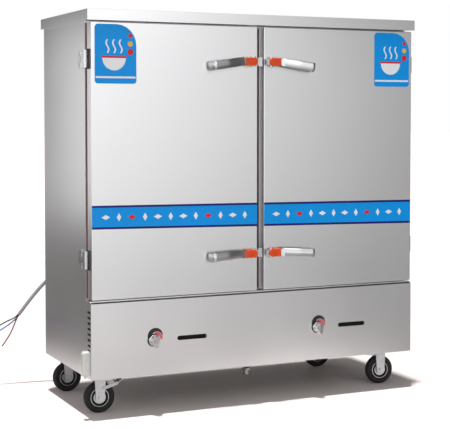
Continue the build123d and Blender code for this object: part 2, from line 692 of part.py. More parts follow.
def make_gas_burners():
    """Two burners, each a header with three tubes screwed into it and two pedestals."""
    pieces = []
    half = BURNER_HEADER_SIZE / 2
    long = BURNER_HEADER_LENGTH / 2
    foot = BURNER_RAIL_WIDTH / 2
    z = BURNER_AXIS_HEIGHT
    front = FRONT + BURNER_FRONT
    header_rear = front + BURNER_HEADER_SIZE
    rear_foot = BURNER_END - BURNER_HEADER_SIZE
    for sign in SIDES.values():
        x = sign * BURNER_CENTRE
        pieces.append(block(x - long, x + long, front, header_rear, z - half, z + half))
        for index in range(BURNER_TUBE_COUNT):
            tube_x = x + (index - (BURNER_TUBE_COUNT - 1) / 2) * BURNER_TUBE_SPACING
            pieces.append(rod((tube_x, header_rear, z), (tube_x, BURNER_END, z), BURNER_TUBE_RADIUS))
        pieces.append(block(x - foot, x + foot, front, header_rear, RAIL_TOP, z - half))
        tube_low = z - BURNER_TUBE_RADIUS
        pieces.append(block(x - foot, x + foot, rear_foot, rear_foot + foot, RAIL_TOP, tube_low))
    return pieces


def make_gas_manifold():
    """Pipe from the rear inlet to the two valves, with a mixing tube from each valve to its burner."""
    z = KNOB_HEIGHT
    y = FRONT + MANIFOLD_SETBACK
    half = VALVE_SIZE / 2
    header_front = FRONT + BURNER_FRONT
    manifold = rod((KNOB_XS["left"] - half, y, z), (GAS_INLET_X, y, z), MANIFOLD_RADIUS)
    x = GAS_INLET_X
    manifold += rod((x, y - MANIFOLD_RADIUS, z), (x, REAR + INLET_NUT, z), MANIFOLD_RADIUS)
    manifold += spigot(x, z, GAS_INLET_RADIUS)
    for x in KNOB_XS.values():
        manifold += block(x - half, x + half, FRONT + VALVE_FRONT, y, z - half, z + half)
        riser = FRONT + VALVE_FRONT + half
        manifold += rod((x, riser, z), (x, riser, BURNER_AXIS_HEIGHT + half / 2), half / 2)
        manifold += rod((x, riser, BURNER_AXIS_HEIGHT), (x, header_front, BURNER_AXIS_HEIGHT), half / 2)
    bore_end = FRONT - STEM_FRONT + STEM_LENGTH + 2 * STEM_PUSH
    for x in KNOB_XS.values():
        manifold -= rod((x, FRONT, z), (x, bore_end, z), STEM_RADIUS + SHAFT_CLEARANCE)
    return manifold


def make_immersion_heaters():
    """Two hairpin heaters, each on a flange behind the tank with a terminal cap."""
    heaters = []
    z = HEATER_HEIGHT
    for centre in (-HEATER_CENTRE, HEATER_CENTRE):
        tip = FRONT + HEATER_FRONT
        bend = HEATER_BEND
        points = (
            (centre - bend, LINER_BACK + HEATER_FLANGE, z),
            (centre - bend, tip, z),
            (centre + bend, tip, z),
            (centre + bend, LINER_BACK + HEATER_FLANGE, z),
        )
        path = FilletPolyline(*points, radius=bend * 0.98)
        section = Plane(origin=path @ 0, z_dir=path % 0) * Circle(HEATER_RADIUS)
        heater = sweep(section, path)
        heater += rod((centre, LINER_BACK, z), (centre, LINER_BACK + HEATER_FLANGE, z), HEATER_FLANGE_RADIUS)
        cap_end = LINER_BACK + HEATER_FLANGE + HEATER_CAP_DEPTH
        heater += rod((centre, LINER_BACK, z), (centre, cap_end, z), HEATER_FLANGE_RADIUS * 0.75)
        heaters.append(heater)
    return heaters


def make_cable_gland():
    x, z = GLAND_X, GLAND_HEIGHT
    inner_face = REAR - SHEET
    inside = inner_face - GLAND_NUT
    nut_end = REAR + GLAND_NUT
    gland = rod((x, inside, z), (x, nut_end, z), GLAND_THREAD)
    for start in (REAR, inside):
        hexagon = Plane(origin=(x, start, z), z_dir=(0, 1, 0)) * RegularPolygon(GLAND_HEX, 6)
        gland += extrude(hexagon, GLAND_NUT)
    cone_start = Plane(origin=(x, nut_end, z), z_dir=(0, 1, 0)) * Circle(GLAND_HEX * 0.86)
    cone_end = Plane(origin=(x, REAR + GLAND_OUT, z), z_dir=(0, 1, 0)) * Circle(CABLE_RADIUS + 2)
    gland += loft([cone_start, cone_end])
    gland -= rod((x, inside - 1, z), (x, nut_end, z), CABLE_RADIUS)
    return gland


def make_terminal_box():
    """Cover over the gland's inner nut, with the terminal strip that the cable ends on."""
    x0 = GLAND_X - TERMINAL_WIDTH / 2
    x1 = GLAND_X + TERMINAL_WIDTH / 2
    y1 = REAR - SHEET
    y0 = y1 - TERMINAL_DEPTH
    z0 = GLAND_HEIGHT - TERMINAL_HEIGHT / 2
    z1 = GLAND_HEIGHT + TERMINAL_HEIGHT / 2
    wall = TERMINAL_WALL
    cover = block(x0, x1, y0, y1, z0, z1)
    cover -= block(x0 + wall, x1 - wall, y0 + wall, y1, z0 + wall, z1 - wall)
    strip_low = GLAND_HEIGHT + GLAND_HEX + wall
    strip = block(x0 + 3 * wall, x1 - 3 * wall, y1 - TERMINAL_STRIP, y1, strip_low, z1 - 2 * wall)
    return [cover, strip]


def make_drain_valve():
    """Drain pipe from the tank with a quarter-turn ball valve under the base."""
    x, y = DRAIN_X, FRONT + DRAIN_SETBACK
    z = DRAIN_VALVE_HEIGHT
    valve = rod((x, y, DRAIN_END), (x, y, TANK_BOTTOM), DRAIN_RADIUS)
    valve += Pos(x, y, z) * Sphere(DRAIN_VALVE_RADIUS)
    for centre in (z + DRAIN_VALVE_RADIUS, z - DRAIN_VALVE_RADIUS):
        nut = Plane(origin=(x, y, centre)) * RegularPolygon(DRAIN_RADIUS + DRAIN_NUT_RIM, 6)
        valve += extrude(nut, DRAIN_NUT / 2, both=True)
    valve -= rod((x, y, DRAIN_END - 1), (x, y, TANK_BOTTOM + 1), DRAIN_RADIUS - DRAIN_WALL)
    side = y - DRAIN_VALVE_RADIUS
    valve += rod((x, side + DRAIN_NECK, z), (x, side - DRAIN_NECK, z), 2 * DRAIN_STUB_RADIUS)
    valve += rod((x, side, z), (x, side - DRAIN_STEM, z), DRAIN_STUB_RADIUS)
    return valve


def make_drain_lever():
    x, z = DRAIN_X, DRAIN_VALVE_HEIGHT
    back = FRONT + DRAIN_SETBACK - DRAIN_VALVE_RADIUS - DRAIN_NECK - HINGE_GAP
    front = back - DRAIN_LEVER_THICKNESS
    half = DRAIN_LEVER_WIDTH / 2
    lever = block(x - DRAIN_LEVER_LENGTH + half, x, front, back, z - half, z + half)
    lever += rod((x, front, z), (x, back, z), half + DRAIN_LEVER_BOSS)
    tip = x - DRAIN_LEVER_LENGTH + half
    lever += rod((tip, front, z), (tip, back, z), half)
    grip_end = x - DRAIN_LEVER_LENGTH / 3
    grip_half = half + DRAIN_GRIP_BUILD / 3
    lever += block(tip, grip_end, front - DRAIN_GRIP_BUILD, back, z - grip_half, z + grip_half)
    lever -= rod((x, front - 1, z), (x, back + 1, z), DRAIN_STUB_RADIUS + SHAFT_CLEARANCE)
    return lever


def make_ignition_box():
    """White housing with a rounded top on the left side panel."""
    x1 = -HALF
    x0 = x1 - IGNITION_WIDTH
    y0 = FRONT + IGNITION_SETBACK
    y1 = y0 + IGNITION_DEPTH
    low = BASE_CLEARANCE + IGNITION_ABOVE_BASE
    high = low + IGNITION_HEIGHT
    box = block(x0, x1, y0, y1, low, high)
    crown = box.edges().filter_by(Axis.Y).group_by(Axis.Z)[-1].sort_by(Axis.X)[0]
    box = fillet([crown], IGNITION_CROWN)
    box = fillet(box.edges().filter_by(Axis.Z).sort_by(Axis.X)[:2], IGNITION_CORNER)
    wall = IGNITION_WALL
    box -= block(x0 + wall, x1, y0 + wall, y1 - wall, low + wall, high - 4 * wall)
    nipple_x = (x0 + x1) / 2
    nipple_y = (y0 + y1) / 2
    nipple_low = low - IGNITION_NIPPLE_LENGTH
    box += rod((nipple_x, nipple_y, nipple_low), (nipple_x, nipple_y, low + wall), IGNITION_NIPPLE)
    return box


def hinge_knuckle(z0, z1):
    return rod((-HINGE_X, HINGE_Y, z0), (-HINGE_X, HINGE_Y, z1), HINGE_KNUCKLE_RADIUS)


def make_cabinet_hinge_leaf(centre):
    """Leaf on the side panel with the upper and lower knuckles and the hinge pin."""
    half = HINGE_TALL / 2
    third = HINGE_TALL / 6
    plate_y = HINGE_Y + HINGE_KNUCKLE_RADIUS
    rear = plate_y + HINGE_PLATE_LENGTH
    outline = Polyline((HINGE_Y, centre - half), (rear - half / 2, centre - half), (rear, centre - half / 2),
                       (rear, centre + half / 2), (rear - half / 2, centre + half), (HINGE_Y, centre + half),
                       close=True)
    plane = Plane(origin=(-HALF - HINGE_PLATE, 0, 0), x_dir=(0, 1, 0), z_dir=(1, 0, 0))
    leaf = extrude(plane * make_face(outline), HINGE_PLATE)
    leaf -= block(-HALF - HINGE_PLATE, -HALF, HINGE_Y, plate_y + 1, centre - third, centre + third)
    leaf += hinge_knuckle(centre + third + HINGE_GAP, centre + half)
    leaf += hinge_knuckle(centre - half, centre - third - HINGE_GAP)
    leaf += rod((-HINGE_X, HINGE_Y, centre - half), (-HINGE_X, HINGE_Y, centre + half), HINGE_PIN_RADIUS)
    for step in (-half / 2, half / 2):
        hole = (-HALF - HINGE_PLATE - 1, rear - half, centre + step)
        end = (-HALF + 1, rear - half, centre + step)
        leaf -= rod(hole, end, HINGE_SCREW_RADIUS + HOLE_CLEARANCE)
    return leaf


def make_door_hinge_leaf(centre):
    """Block on the door's edge with the middle knuckle."""
    half = HINGE_TALL / 2
    third = HINGE_TALL / 6
    edge = -HALF + DOOR_EDGE_INSET
    front = FRONT + HINGE_BLOCK_FRONT
    leaf = block(-HALF - HINGE_BLOCK_OUT, edge, front, FRONT + HINGE_BLOCK_REAR, centre - half, centre + half)
    knuckle_low = centre - third
    knuckle_high = centre + third
    outer = -HINGE_X - HINGE_KNUCKLE_RADIUS
    inner = -HINGE_X + HINGE_KNUCKLE_RADIUS - 1
    leaf += block(max(outer, -HALF - HINGE_BLOCK_OUT), inner, FRONT + HINGE_BLOCK_REAR, HINGE_Y, knuckle_low,
                  knuckle_high)
    leaf += hinge_knuckle(knuckle_low, knuckle_high)
    bore = HINGE_PIN_RADIUS + SHAFT_CLEARANCE
    leaf -= rod((-HINGE_X, HINGE_Y, knuckle_low - 1), (-HINGE_X, HINGE_Y, knuckle_high + 1), bore)
    return leaf


def make_keeper(centre):
    """T-shaped post on the mullion, with its head in the gap between the two doors."""
    half = KEEPER_HEIGHT / 2
    face = FRONT + KEEPER_SETBACK
    head_back = face + KEEPER_PLATE
    keeper = block(-KEEPER_WIDTH / 2, KEEPER_WIDTH / 2, face, head_back, centre - half, centre + half)
    post = KEEPER_POST / 2
    post_half = half - KEEPER_POST_INSET
    keeper += block(-post, post, head_back, BODY_FRONT, centre - post_half, centre + post_half)
    return keeper


def latch_pivot(centre):
    return (-LATCH_PIVOT_X, LATCH_Y, centre)


def make_latch_bracket(centre):
    """Base on the door with two ears and the pivot pin."""
    x, y, z = latch_pivot(centre)
    half = LATCH_BODY_HEIGHT / 2
    ear_low = half + LATCH_EAR_GAP
    ear_high = ear_low + LATCH_EAR
    base_front = FRONT - LATCH_BASE
    base_half = ear_high + LATCH_BASE_MARGIN
    ear = LATCH_EAR_RADIUS
    outer, inner = x - LATCH_BASE_OUTER, x + LATCH_BASE_INNER
    bracket = block(outer, inner, base_front, FRONT, z - base_half, z + base_half)
    for sign in (-1, 1):
        z0, z1 = sorted((z + sign * ear_low, z + sign * ear_high))
        bracket += block(x - ear, x + ear, y, base_front, z0, z1)
        bracket += rod((x, y, z0), (x, y, z1), ear)
    bracket += rod((x, y, z - ear_high), (x, y, z + ear_high), LATCH_PIN_RADIUS)
    return bracket


def make_latch_lever(centre, droop):
    """Chromed lever: a nose towards the keeper, a hub on the pin and a bowed grip that ends by the door."""
    x, y, z = latch_pivot(centre)
    half = LATCH_BODY_HEIGHT / 2
    blade_half = half - LATCH_BLADE_INSET
    lever = rod((x, y, z - half), (x, y, z + half), LATCH_HUB_RADIUS)
    nose = Polyline(
        (x, y - LATCH_NOSE_FRONT),
        (x + LATCH_NOSE, y - LATCH_NOSE_FRONT),
        (x + LATCH_NOSE, y - LATCH_NOSE_BACK),
        (x, y),
        close=True,
    )
    arm = Polyline(
        (x, y - LATCH_ARM_BACK),
        (x - LATCH_ARM, y - LATCH_ARM_FRONT),
        (x - LATCH_ARM, y - LATCH_ARM_BACK),
        (x, y),
        close=True,
    )
    for outline in (nose, arm):
        lever += Pos(0, 0, z - blade_half) * extrude(make_face(outline), 2 * blade_half)
    grip_points = (
        (x - GRIP_START, y - GRIP_START_OUT, z),
        (x - GRIP_SHOULDER, y - GRIP_SHOULDER_OUT, z),
        (x - GRIP_LENGTH, y - GRIP_OUT, z),
        (x - GRIP_LENGTH - GRIP_RETURN, y + GRIP_RETURN_IN, z),
    )
    radii = [GRIP_BOW_RADIUS, GRIP_END_RADIUS]
    grip = band(grip_points, radii, GRIP_HEIGHT, GRIP_THICKNESS, (0, 0, 1), corner=GRIP_CORNER)
    lever += grip.rotate(Axis((x - LATCH_ARM, y - GRIP_START_OUT, z), (0, 1, 0)), -droop)
    bore = LATCH_PIN_RADIUS + SHAFT_CLEARANCE
    lever -= rod((x, y, z - half - 1), (x, y, z + half + 1), bore)
    return lever


def make_latch_cover(centre, lever):
    """Orange plastic block over the lever's hub, round at its inner end."""
    x, y, z = latch_pivot(centre)
    half = LATCH_BODY_HEIGHT / 2
    front = y - LATCH_COVER_FRONT
    outer, inner = x - LATCH_COVER_OUTER, x + LATCH_COVER_INNER
    cover = block(outer, inner, front, y - LATCH_COVER_BACK, z - half, z + half)
    cover = fillet(cover.edges().filter_by(Axis.Y).group_by(Axis.X)[-1], LATCH_COVER_ROUND)
    cover = fillet(cover.edges().group_by(Axis.Y)[0], LATCH_COVER_EDGE)
    cover -= lever
    cover -= rod((x, y, z - half - 1), (x, y, z + half + 1), LATCH_HUB_RADIUS)
    return max(cover.solids(), key=lambda solid: solid.volume)


def make_door_skin():
    x0, x1 = -HALF + DOOR_EDGE_INSET, -DOOR_MIDDLE_GAP / 2
    skin = block(x0, x1, FRONT, FRONT + DOOR_THICKNESS, DOOR_BOTTOM, DOOR_TOP)
    skin -= block(x0 + SHEET, x1 - SHEET, FRONT + SHEET, FRONT + DOOR_THICKNESS + 1, DOOR_BOTTOM + SHEET,
                  DOOR_TOP - SHEET)
    return skin


def make_door_liner():
    """Inner pan of the door."""
    x0, x1 = -HALF + DOOR_EDGE_INSET + SHEET, -DOOR_MIDDLE_GAP / 2 - SHEET
    z0, z1 = DOOR_BOTTOM + SHEET, DOOR_TOP - SHEET
    back = FRONT + DOOR_THICKNESS
    front = back - DOOR_PAN_DEPTH
    liner = block(x0, x1, front, back, z0, z1)
    liner -= block(x0 + LINER_SHEET, x1 - LINER_SHEET, front - 1, back - LINER_SHEET, z0 + LINER_SHEET,
                   z1 - LINER_SHEET)
    return liner


def make_door_gasket():
    x0, x1 = -HALF + DOOR_EDGE_INSET + GASKET_INSET, -DOOR_MIDDLE_GAP / 2 - GASKET_INSET
    z0, z1 = DOOR_BOTTOM + GASKET_INSET, DOOR_TOP - GASKET_INSET
    y0 = FRONT + DOOR_THICKNESS
    y1 = BODY_FRONT - GASKET_CLEARANCE
    w = GASKET_WIDTH
    gasket = block(x0, x1, y0, y1, z0, z1)
    gasket -= block(x0 + w, x1 - w, y0 - 1, y1 + 1, z0 + w, z1 - w)
    return gasket


def make_valve_stem(x):
    start = (x, FRONT - STEM_FRONT, KNOB_HEIGHT)
    end = (x, FRONT - STEM_FRONT + STEM_LENGTH, KNOB_HEIGHT)
    return rod(start, end, STEM_RADIUS)


def make_knob(x):
    """Round skirt with a pointed grip across it, pointing down at rest."""
    z = KNOB_HEIGHT
    back = FRONT - KNOB_PANEL_GAP
    front = back - KNOB_DEPTH
    knob = rod((x, back - KNOB_SKIRT, z), (x, back, z), KNOB_RADIUS)
    base = Plane(origin=(x, back - KNOB_SKIRT, z), z_dir=(0, -1, 0)) * Circle(KNOB_RADIUS - KNOB_TAPER)
    face = Plane(origin=(x, front + 2 * KNOB_TAPER, z), z_dir=(0, -1, 0))
    top = face * Circle(KNOB_RADIUS - 2 * KNOB_TAPER)
    knob += loft([base, top])
    half = KNOB_GRIP_WIDTH / 2
    reach = KNOB_RADIUS - KNOB_TAPER
    outline = Polyline((x - half, z + reach), (x - half, z - reach), (x, z - KNOB_NOSE),
                       (x + half, z - reach),
                       (x + half, z + reach), close=True)
    grip_plane = Plane(origin=(0, back - KNOB_SKIRT, 0), x_dir=(1, 0, 0), z_dir=(0, -1, 0))
    face = make_face(outline)
    knob += extrude(grip_plane * face, KNOB_DEPTH - KNOB_SKIRT)
    bore_end = FRONT - STEM_FRONT - 1
    knob -= rod((x, bore_end, z), (x, back + 1, z), STEM_RADIUS + SHAFT_CLEARANCE)
    return knob


def make_caster_plate(x, y):
    """Top plate with the fixed race and the kingpin, whose head is under the fork."""
    top = BASE_CLEARANCE
    plate = block(x - CASTER_PLATE_X / 2, x + CASTER_PLATE_X / 2,
                  y - CASTER_PLATE_Y / 2, y + CASTER_PLATE_Y / 2,
                  top - CASTER_PLATE, top)
    for step_x in (-CASTER_BOLT_X / 2, CASTER_BOLT_X / 2):
        for step_y in (-CASTER_BOLT_Y / 2, CASTER_BOLT_Y / 2):
            start = (x + step_x, y + step_y, top - CASTER_PLATE - 1)
            plate -= rod(start, (x + step_x, y + step_y, top + 1), BOLT_RADIUS + HOLE_CLEARANCE)
    race_low = top - CASTER_PLATE - RACE_HEIGHT
    plate += rod((x, y, race_low), (x, y, top - CASTER_PLATE), RACE_RADIUS - RACE_STEP)
    head_top = CROWN_TOP - CROWN_SHEET - HINGE_GAP
    head_low = head_top - KINGPIN_HEAD
    plate += rod((x, y, head_low), (x, y, race_low), KINGPIN_RADIUS)
    plate += rod((x, y, head_low), (x, y, head_top), KINGPIN_RADIUS + KINGPIN_HEAD)
    return plate


def placed(shape, x, y, angle):
    """A caster piece drawn about its swivel axis, put in its place."""
    return Pos(x, y, 0) * Rot(0, 0, angle) * shape


def make_fork(braked):
    """Fork drawn about its swivel axis, with the wheel trailing along +X, and its bolted axle."""
    trail = CASTER_TRAIL
    crown_low = CROWN_TOP - CROWN_SHEET
    race_top = BASE_CLEARANCE - CASTER_PLATE - RACE_HEIGHT - HINGE_GAP
    outer = FORK_INSIDE + FORK_SHEET
    fork = rod((0, 0, crown_low), (0, 0, race_top), RACE_RADIUS)
    fork += block(-CROWN_NOSE, trail + LEG_TOP_HALF, -outer, outer, crown_low, CROWN_TOP)
    outline = Polyline(
        (trail - LEG_TOP_HALF, CROWN_TOP),
        (trail + LEG_TOP_HALF, CROWN_TOP),
        (trail + LEG_LOW_HALF, WHEEL_RADIUS),
        (trail - LEG_LOW_HALF, WHEEL_RADIUS),
        (trail - LEG_TOP_HALF, CROWN_TOP - LEG_SHOULDER),
        close=True,
    )
    leg = make_face(outline)
    for y0 in (-outer, FORK_INSIDE):
        plane = Plane(origin=(0, y0 + FORK_SHEET, 0), x_dir=(1, 0, 0), z_dir=(0, -1, 0))
        fork += extrude(plane * leg, FORK_SHEET)
        fork += rod((trail, y0, WHEEL_RADIUS), (trail, y0 + FORK_SHEET, WHEEL_RADIUS), LEG_LOW_HALF)
    fork -= rod((0, 0, crown_low - 1), (0, 0, race_top + 1), KINGPIN_RADIUS + SHAFT_CLEARANCE)
    axle_hole = AXLE_RADIUS + AXLE_CLEARANCE
    fork -= rod((trail, -outer - 1, WHEEL_RADIUS), (trail, outer + 1, WHEEL_RADIUS), axle_hole)
    if braked:
        pin_end = outer + PEDAL_CHEEK + PEDAL_PIN_HEAD
        for sign in (-1, 1):
            start = (PEDAL_PIVOT, sign * (outer - 1), PEDAL_PIVOT_Z)
            fork += rod(start, (PEDAL_PIVOT, sign * pin_end, PEDAL_PIVOT_Z), PEDAL_PIN_RADIUS)
    axle_end = outer + AXLE_NUT - CROWN_SHEET / 2
    axle = rod((trail, -axle_end, WHEEL_RADIUS), (trail, axle_end, WHEEL_RADIUS), AXLE_RADIUS)
    for sign in (-1, 1):
        plane = Plane(origin=(trail, sign * outer, WHEEL_RADIUS), z_dir=(0, sign, 0))
        axle += extrude(plane * RegularPolygon(AXLE_NUT_RADIUS, 6), AXLE_NUT)
    return [fork, axle]


def make_rim():
    """Pressed wheel disc with its hub, turned about the axle."""
    half = WHEEL_WIDTH / 2 - RIM_INSET
    flange = half + RIM_FLANGE
    hub = FORK_INSIDE - HUB_CLEARANCE
    bore = AXLE_RADIUS + SHAFT_CLEARANCE
    lip = RIM_RADIUS - RIM_LIP
    points = (
        (bore, -hub),
        (HUB_RADIUS, -hub),
        (HUB_RADIUS, -half),
        (HUB_DISC_RADIUS, -half),
        (HUB_DISC_RADIUS, -RIM_WEB),
        (lip, -RIM_WEB),
        (lip, -flange),
        (RIM_RADIUS, -flange),
        (RIM_RADIUS, flange),
        (lip, flange),
        (lip, RIM_WEB),
        (HUB_DISC_RADIUS, RIM_WEB),
        (HUB_DISC_RADIUS, half),
        (HUB_RADIUS, half),
        (HUB_RADIUS, hub),
        (bore, hub),
    )
    rim = revolve(make_face(Polyline(*points, close=True)), Axis.Y)
    return Pos(CASTER_TRAIL, 0, WHEEL_RADIUS) * rim


def make_tyre():
    half = WHEEL_WIDTH / 2
    seat = half - TYRE_SEAT_INSET
    shoulder = WHEEL_RADIUS - TYRE_SHOULDER
    crown = TYRE_CROWN
    round_radius = WHEEL_RADIUS - 0.3 * TYRE_CROWN
    outline = (
        Line((RIM_RADIUS, -seat), (RIM_RADIUS, seat))
        + Line((RIM_RADIUS, seat), (shoulder, half))
        + ThreePointArc((shoulder, half), (round_radius, half - crown), (WHEEL_RADIUS, crown))
        + Line((WHEEL_RADIUS, crown), (WHEEL_RADIUS, -crown))
        + ThreePointArc((WHEEL_RADIUS, -crown), (round_radius, crown - half), (shoulder, -half))
        + Line((shoulder, -half), (RIM_RADIUS, -seat))
    )
    tyre = revolve(make_face(outline), Axis.Y)
    return Pos(CASTER_TRAIL, 0, WHEEL_RADIUS) * tyre


# Side view of the brake pedal from the swivel axis and the crown's top: its curled tread, and its cheeks
PEDAL_TREAD = ((-37.0, 12.0), (-50.0, 9.0), (-49.0, -6.0), (-30.0, -19.0))
PEDAL_CHEEK_OUTLINE = ((22.0, -40.0), (-32.0, -24.0), (-38.0, -16.0), (-33.0, -11.0), (22.0, -26.0))


def make_pedal():
    """Foot pedal with two cheeks on pins outside the fork legs."""
    outer = FORK_INSIDE + FORK_SHEET + HINGE_GAP
    width = 2 * (outer + PEDAL_CHEEK)
    x, z = PEDAL_PIVOT, PEDAL_PIVOT_Z
    tread_line = [(along, 0, CROWN_TOP + height) for along, height in PEDAL_TREAD]
    cheek_line = [(along, CROWN_TOP + height) for along, height in PEDAL_CHEEK_OUTLINE]
    pedal = band(tread_line, [PEDAL_BEND, PEDAL_BEND], width, PEDAL_SHEET, (0, 1, 0))
    cheek_face = make_face(Polyline(*cheek_line, close=True))
    for y0 in (outer, -outer - PEDAL_CHEEK):
        plane = Plane(origin=(0, y0 + PEDAL_CHEEK, 0), x_dir=(1, 0, 0), z_dir=(0, -1, 0))
        pedal += extrude(plane * cheek_face, PEDAL_CHEEK)
        pedal += rod((x, y0, z), (x, y0 + PEDAL_CHEEK, z), PEDAL_EYE_RADIUS)
    pedal -= rod((x, -width, z), (x, width, z), PEDAL_PIN_RADIUS + SHAFT_CLEARANCE)
    return pedal


def make_fasteners():
    """Caster bolts and the screws of the hinge leaves."""
    screws = []
    for x, y in caster_bolts():
        seat = BASE_CLEARANCE - CASTER_PLATE
        bolt = rod((x, y, seat - BOLT_HEAD), (x, y, seat), BOLT_HEAD_RADIUS)
        bolt += rod((x, y, seat), (x, y, BASE_CLEARANCE + RAIL_WALL), BOLT_RADIUS)
        screws.append(bolt)
    half = HINGE_TALL / 2
    rear = HINGE_Y + HINGE_KNUCKLE_RADIUS + HINGE_PLATE_LENGTH
    for sign in SIDES.values():
        for centre in HINGE_HEIGHTS:
            for step in (-half / 2, half / 2):
                outside = sign * (HALF + HINGE_PLATE)
                y, z = rear - half, centre + step
                screw = rod((sign * HALF, y, z), (outside, y, z), HINGE_SCREW_RADIUS)
                head_end = outside + sign * HINGE_SCREW_HEAD
                screw += rod((outside, y, z), (head_end, y, z), HINGE_SCREW_HEAD_RADIUS)
                screws.append(screw)
    return screws


def bent_tube(points, radius, radii_share=0.45, name="cable"):
    """A round tube along straight runs joined by arcs as large as the runs allow."""
    vectors = [Vector(*point) for point in points]
    radii = []
    for before, here, after in zip(vectors, vectors[1:], vectors[2:]):
        first, second = here - before, after - here
        turn = math.radians(first.get_angle(second))
        shorter = min(first.length, second.length)
        radii.append(radii_share * shorter / math.tan(turn / 2))
    path = FilletPolyline(*points, radius=radii)
    tube = sweep(Plane(origin=path @ 0, z_dir=path % 0) * Circle(radius), path)
    expected = math.pi * radius ** 2 * path.length
    print(name, "radii", [round(r) for r in radii], "length", round(path.length, 1),
          "volume ratio", round(tube.volume / expected, 4))
    return tube


# Route of the cable from the gland's mouth, and of each core from the same point
CABLE_ROUTE = (
    (0.0, 0.0, 0.0),
    (0.0, 42.0, 0.0),
    (-17.0, 84.0, -10.0),
    (-47.0, 112.0, -39.0),
    (-84.0, 122.0, -78.0),
    (-128.0, 131.2, -131.5),
    (-167.8, 138.0, -185.5),
)
CORE_ROUTES = {
    "core_black": (
        (-170.7, 138.5, -183.7),
        (-177.5, 139.8, -193.0),
        (-193.0, 141.0, -201.5),
        (-220.0, 143.0, -212.0),
        (-245.0, 146.0, -225.0),
        (-268.0, 150.0, -239.0),
    ),
    "core_blue": (
        (-166.1, 140.7, -186.7),
        (-174.3, 142.2, -198.0),
        (-190.0, 142.5, -212.5),
        (-215.0, 143.0, -230.0),
        (-242.0, 144.5, -244.5),
        (-266.0, 146.0, -258.5),
    ),
    "core_brown": (
        (-167.2, 134.9, -186.7),
        (-175.9, 136.5, -198.8),
        (-186.5, 137.7, -224.0),
        (-201.0, 140.0, -260.0),
        (-222.0, 142.0, -292.5),
        (-238.2, 144.0, -315.2),
    ),
}


def from_gland(route):
    """A route's points, moved to start at the gland's mouth."""
    return [(GLAND_X + dx, REAR + GLAND_OUT + dy, GLAND_HEIGHT + dz) for dx, dy, dz in route]


def build():
    save("top_cover", make_top_cover())
    side_panel = make_side_panel()
    hardware = [make_keeper(centre) for centre in HINGE_HEIGHTS]
    for side in SIDES:
        save(f"{side}_side_panel", on_side(side_panel, side))
        hardware += [on_side(make_cabinet_hinge_leaf(centre), side) for centre in HINGE_HEIGHTS]
        save(f"{side}_door_skin", on_side(make_door_skin(), side))
        save(f"{side}_door_liner", on_side(make_door_liner(), side))
        save(f"{side}_door_gasket", on_side(make_door_gasket(), side))
        leaves = [on_side(make_door_hinge_leaf(centre), side) for centre in HINGE_HEIGHTS]
        brackets = [on_side(make_latch_bracket(centre), side) for centre in HINGE_HEIGHTS]
        save(f"{side}_door_hardware", *leaves, *brackets)
        for row, centre in ROWS.items():
            lever = make_latch_lever(centre, GRIP_DROOP[row])
            save(f"{row}_{side}_latch_lever", on_side(lever, side))
            save(f"{row}_{side}_latch_cover", on_side(make_latch_cover(centre, lever), side))
        save(f"{side}_valve_stem", make_valve_stem(KNOB_XS[side]))
        save(f"{side}_knob", make_knob(KNOB_XS[side]))
    save("cabinet_hardware", *hardware)
    save("back_panel", make_back_panel())
    save("lower_front_panel", make_lower_front_panel())
    save("base_frame", make_base_frame())
    save("door_frame", make_door_frame())
    save("chamber_liner", *make_chamber_liner())
    save("insulation", *make_insulation())
    save("tray_racks", *make_tray_racks())
    save("steaming_trays", *make_trays())
    save("water_tank", *make_water_tank())
    save("gas_burners", *make_gas_burners())
    save("gas_manifold", make_gas_manifold())
    save("immersion_heaters", *make_immersion_heaters())
    save("cable_entry", make_cable_gland(), *make_terminal_box())
    save("drain_valve", make_drain_valve())
    save("drain_lever", make_drain_lever())
    save("ignition_box", make_ignition_box())
    plates = []
    for name, (x, y, angle) in caster_centres().items():
        plates.append(make_caster_plate(x, y))
        braked = name in BRAKED_CASTERS
        fork = [placed(piece, x, y, angle) for piece in make_fork(braked)]
        save(f"{name}_caster_fork", *fork)
        save(f"{name}_caster_rim", placed(make_rim(), x, y, angle))
        save(f"{name}_caster_tyre", placed(make_tyre(), x, y, angle))
        if braked:
            save(f"{name}_brake_pedal", placed(make_pedal(), x, y, angle))
    save("caster_plates", *plates)
    save("fasteners", *make_fasteners())
    save("power_cable", bent_tube(from_gland(CABLE_ROUTE), CABLE_RADIUS, name="power_cable"))
    for name, route in CORE_ROUTES.items():
        save(name, bent_tube(from_gland(route), CORE_RADIUS, name=name))


build()
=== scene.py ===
import json
import math

import bmesh
import bpy
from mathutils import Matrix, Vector


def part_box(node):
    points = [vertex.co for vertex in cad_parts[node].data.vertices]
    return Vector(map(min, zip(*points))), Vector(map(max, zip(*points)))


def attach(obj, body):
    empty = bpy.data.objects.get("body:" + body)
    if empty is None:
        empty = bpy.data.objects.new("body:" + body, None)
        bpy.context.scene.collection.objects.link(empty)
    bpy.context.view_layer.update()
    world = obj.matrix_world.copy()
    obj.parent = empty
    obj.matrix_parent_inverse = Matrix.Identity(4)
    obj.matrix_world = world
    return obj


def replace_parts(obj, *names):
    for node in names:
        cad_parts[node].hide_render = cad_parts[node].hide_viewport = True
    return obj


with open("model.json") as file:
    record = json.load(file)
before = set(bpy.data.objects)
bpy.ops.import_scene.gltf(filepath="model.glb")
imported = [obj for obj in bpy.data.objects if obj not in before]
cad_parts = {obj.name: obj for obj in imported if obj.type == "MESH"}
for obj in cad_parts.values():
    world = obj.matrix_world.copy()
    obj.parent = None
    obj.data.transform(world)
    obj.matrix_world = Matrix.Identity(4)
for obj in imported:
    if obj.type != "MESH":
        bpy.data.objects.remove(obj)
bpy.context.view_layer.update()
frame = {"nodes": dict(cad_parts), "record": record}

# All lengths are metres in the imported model's frame: X to the right, Y to the back, Z up.

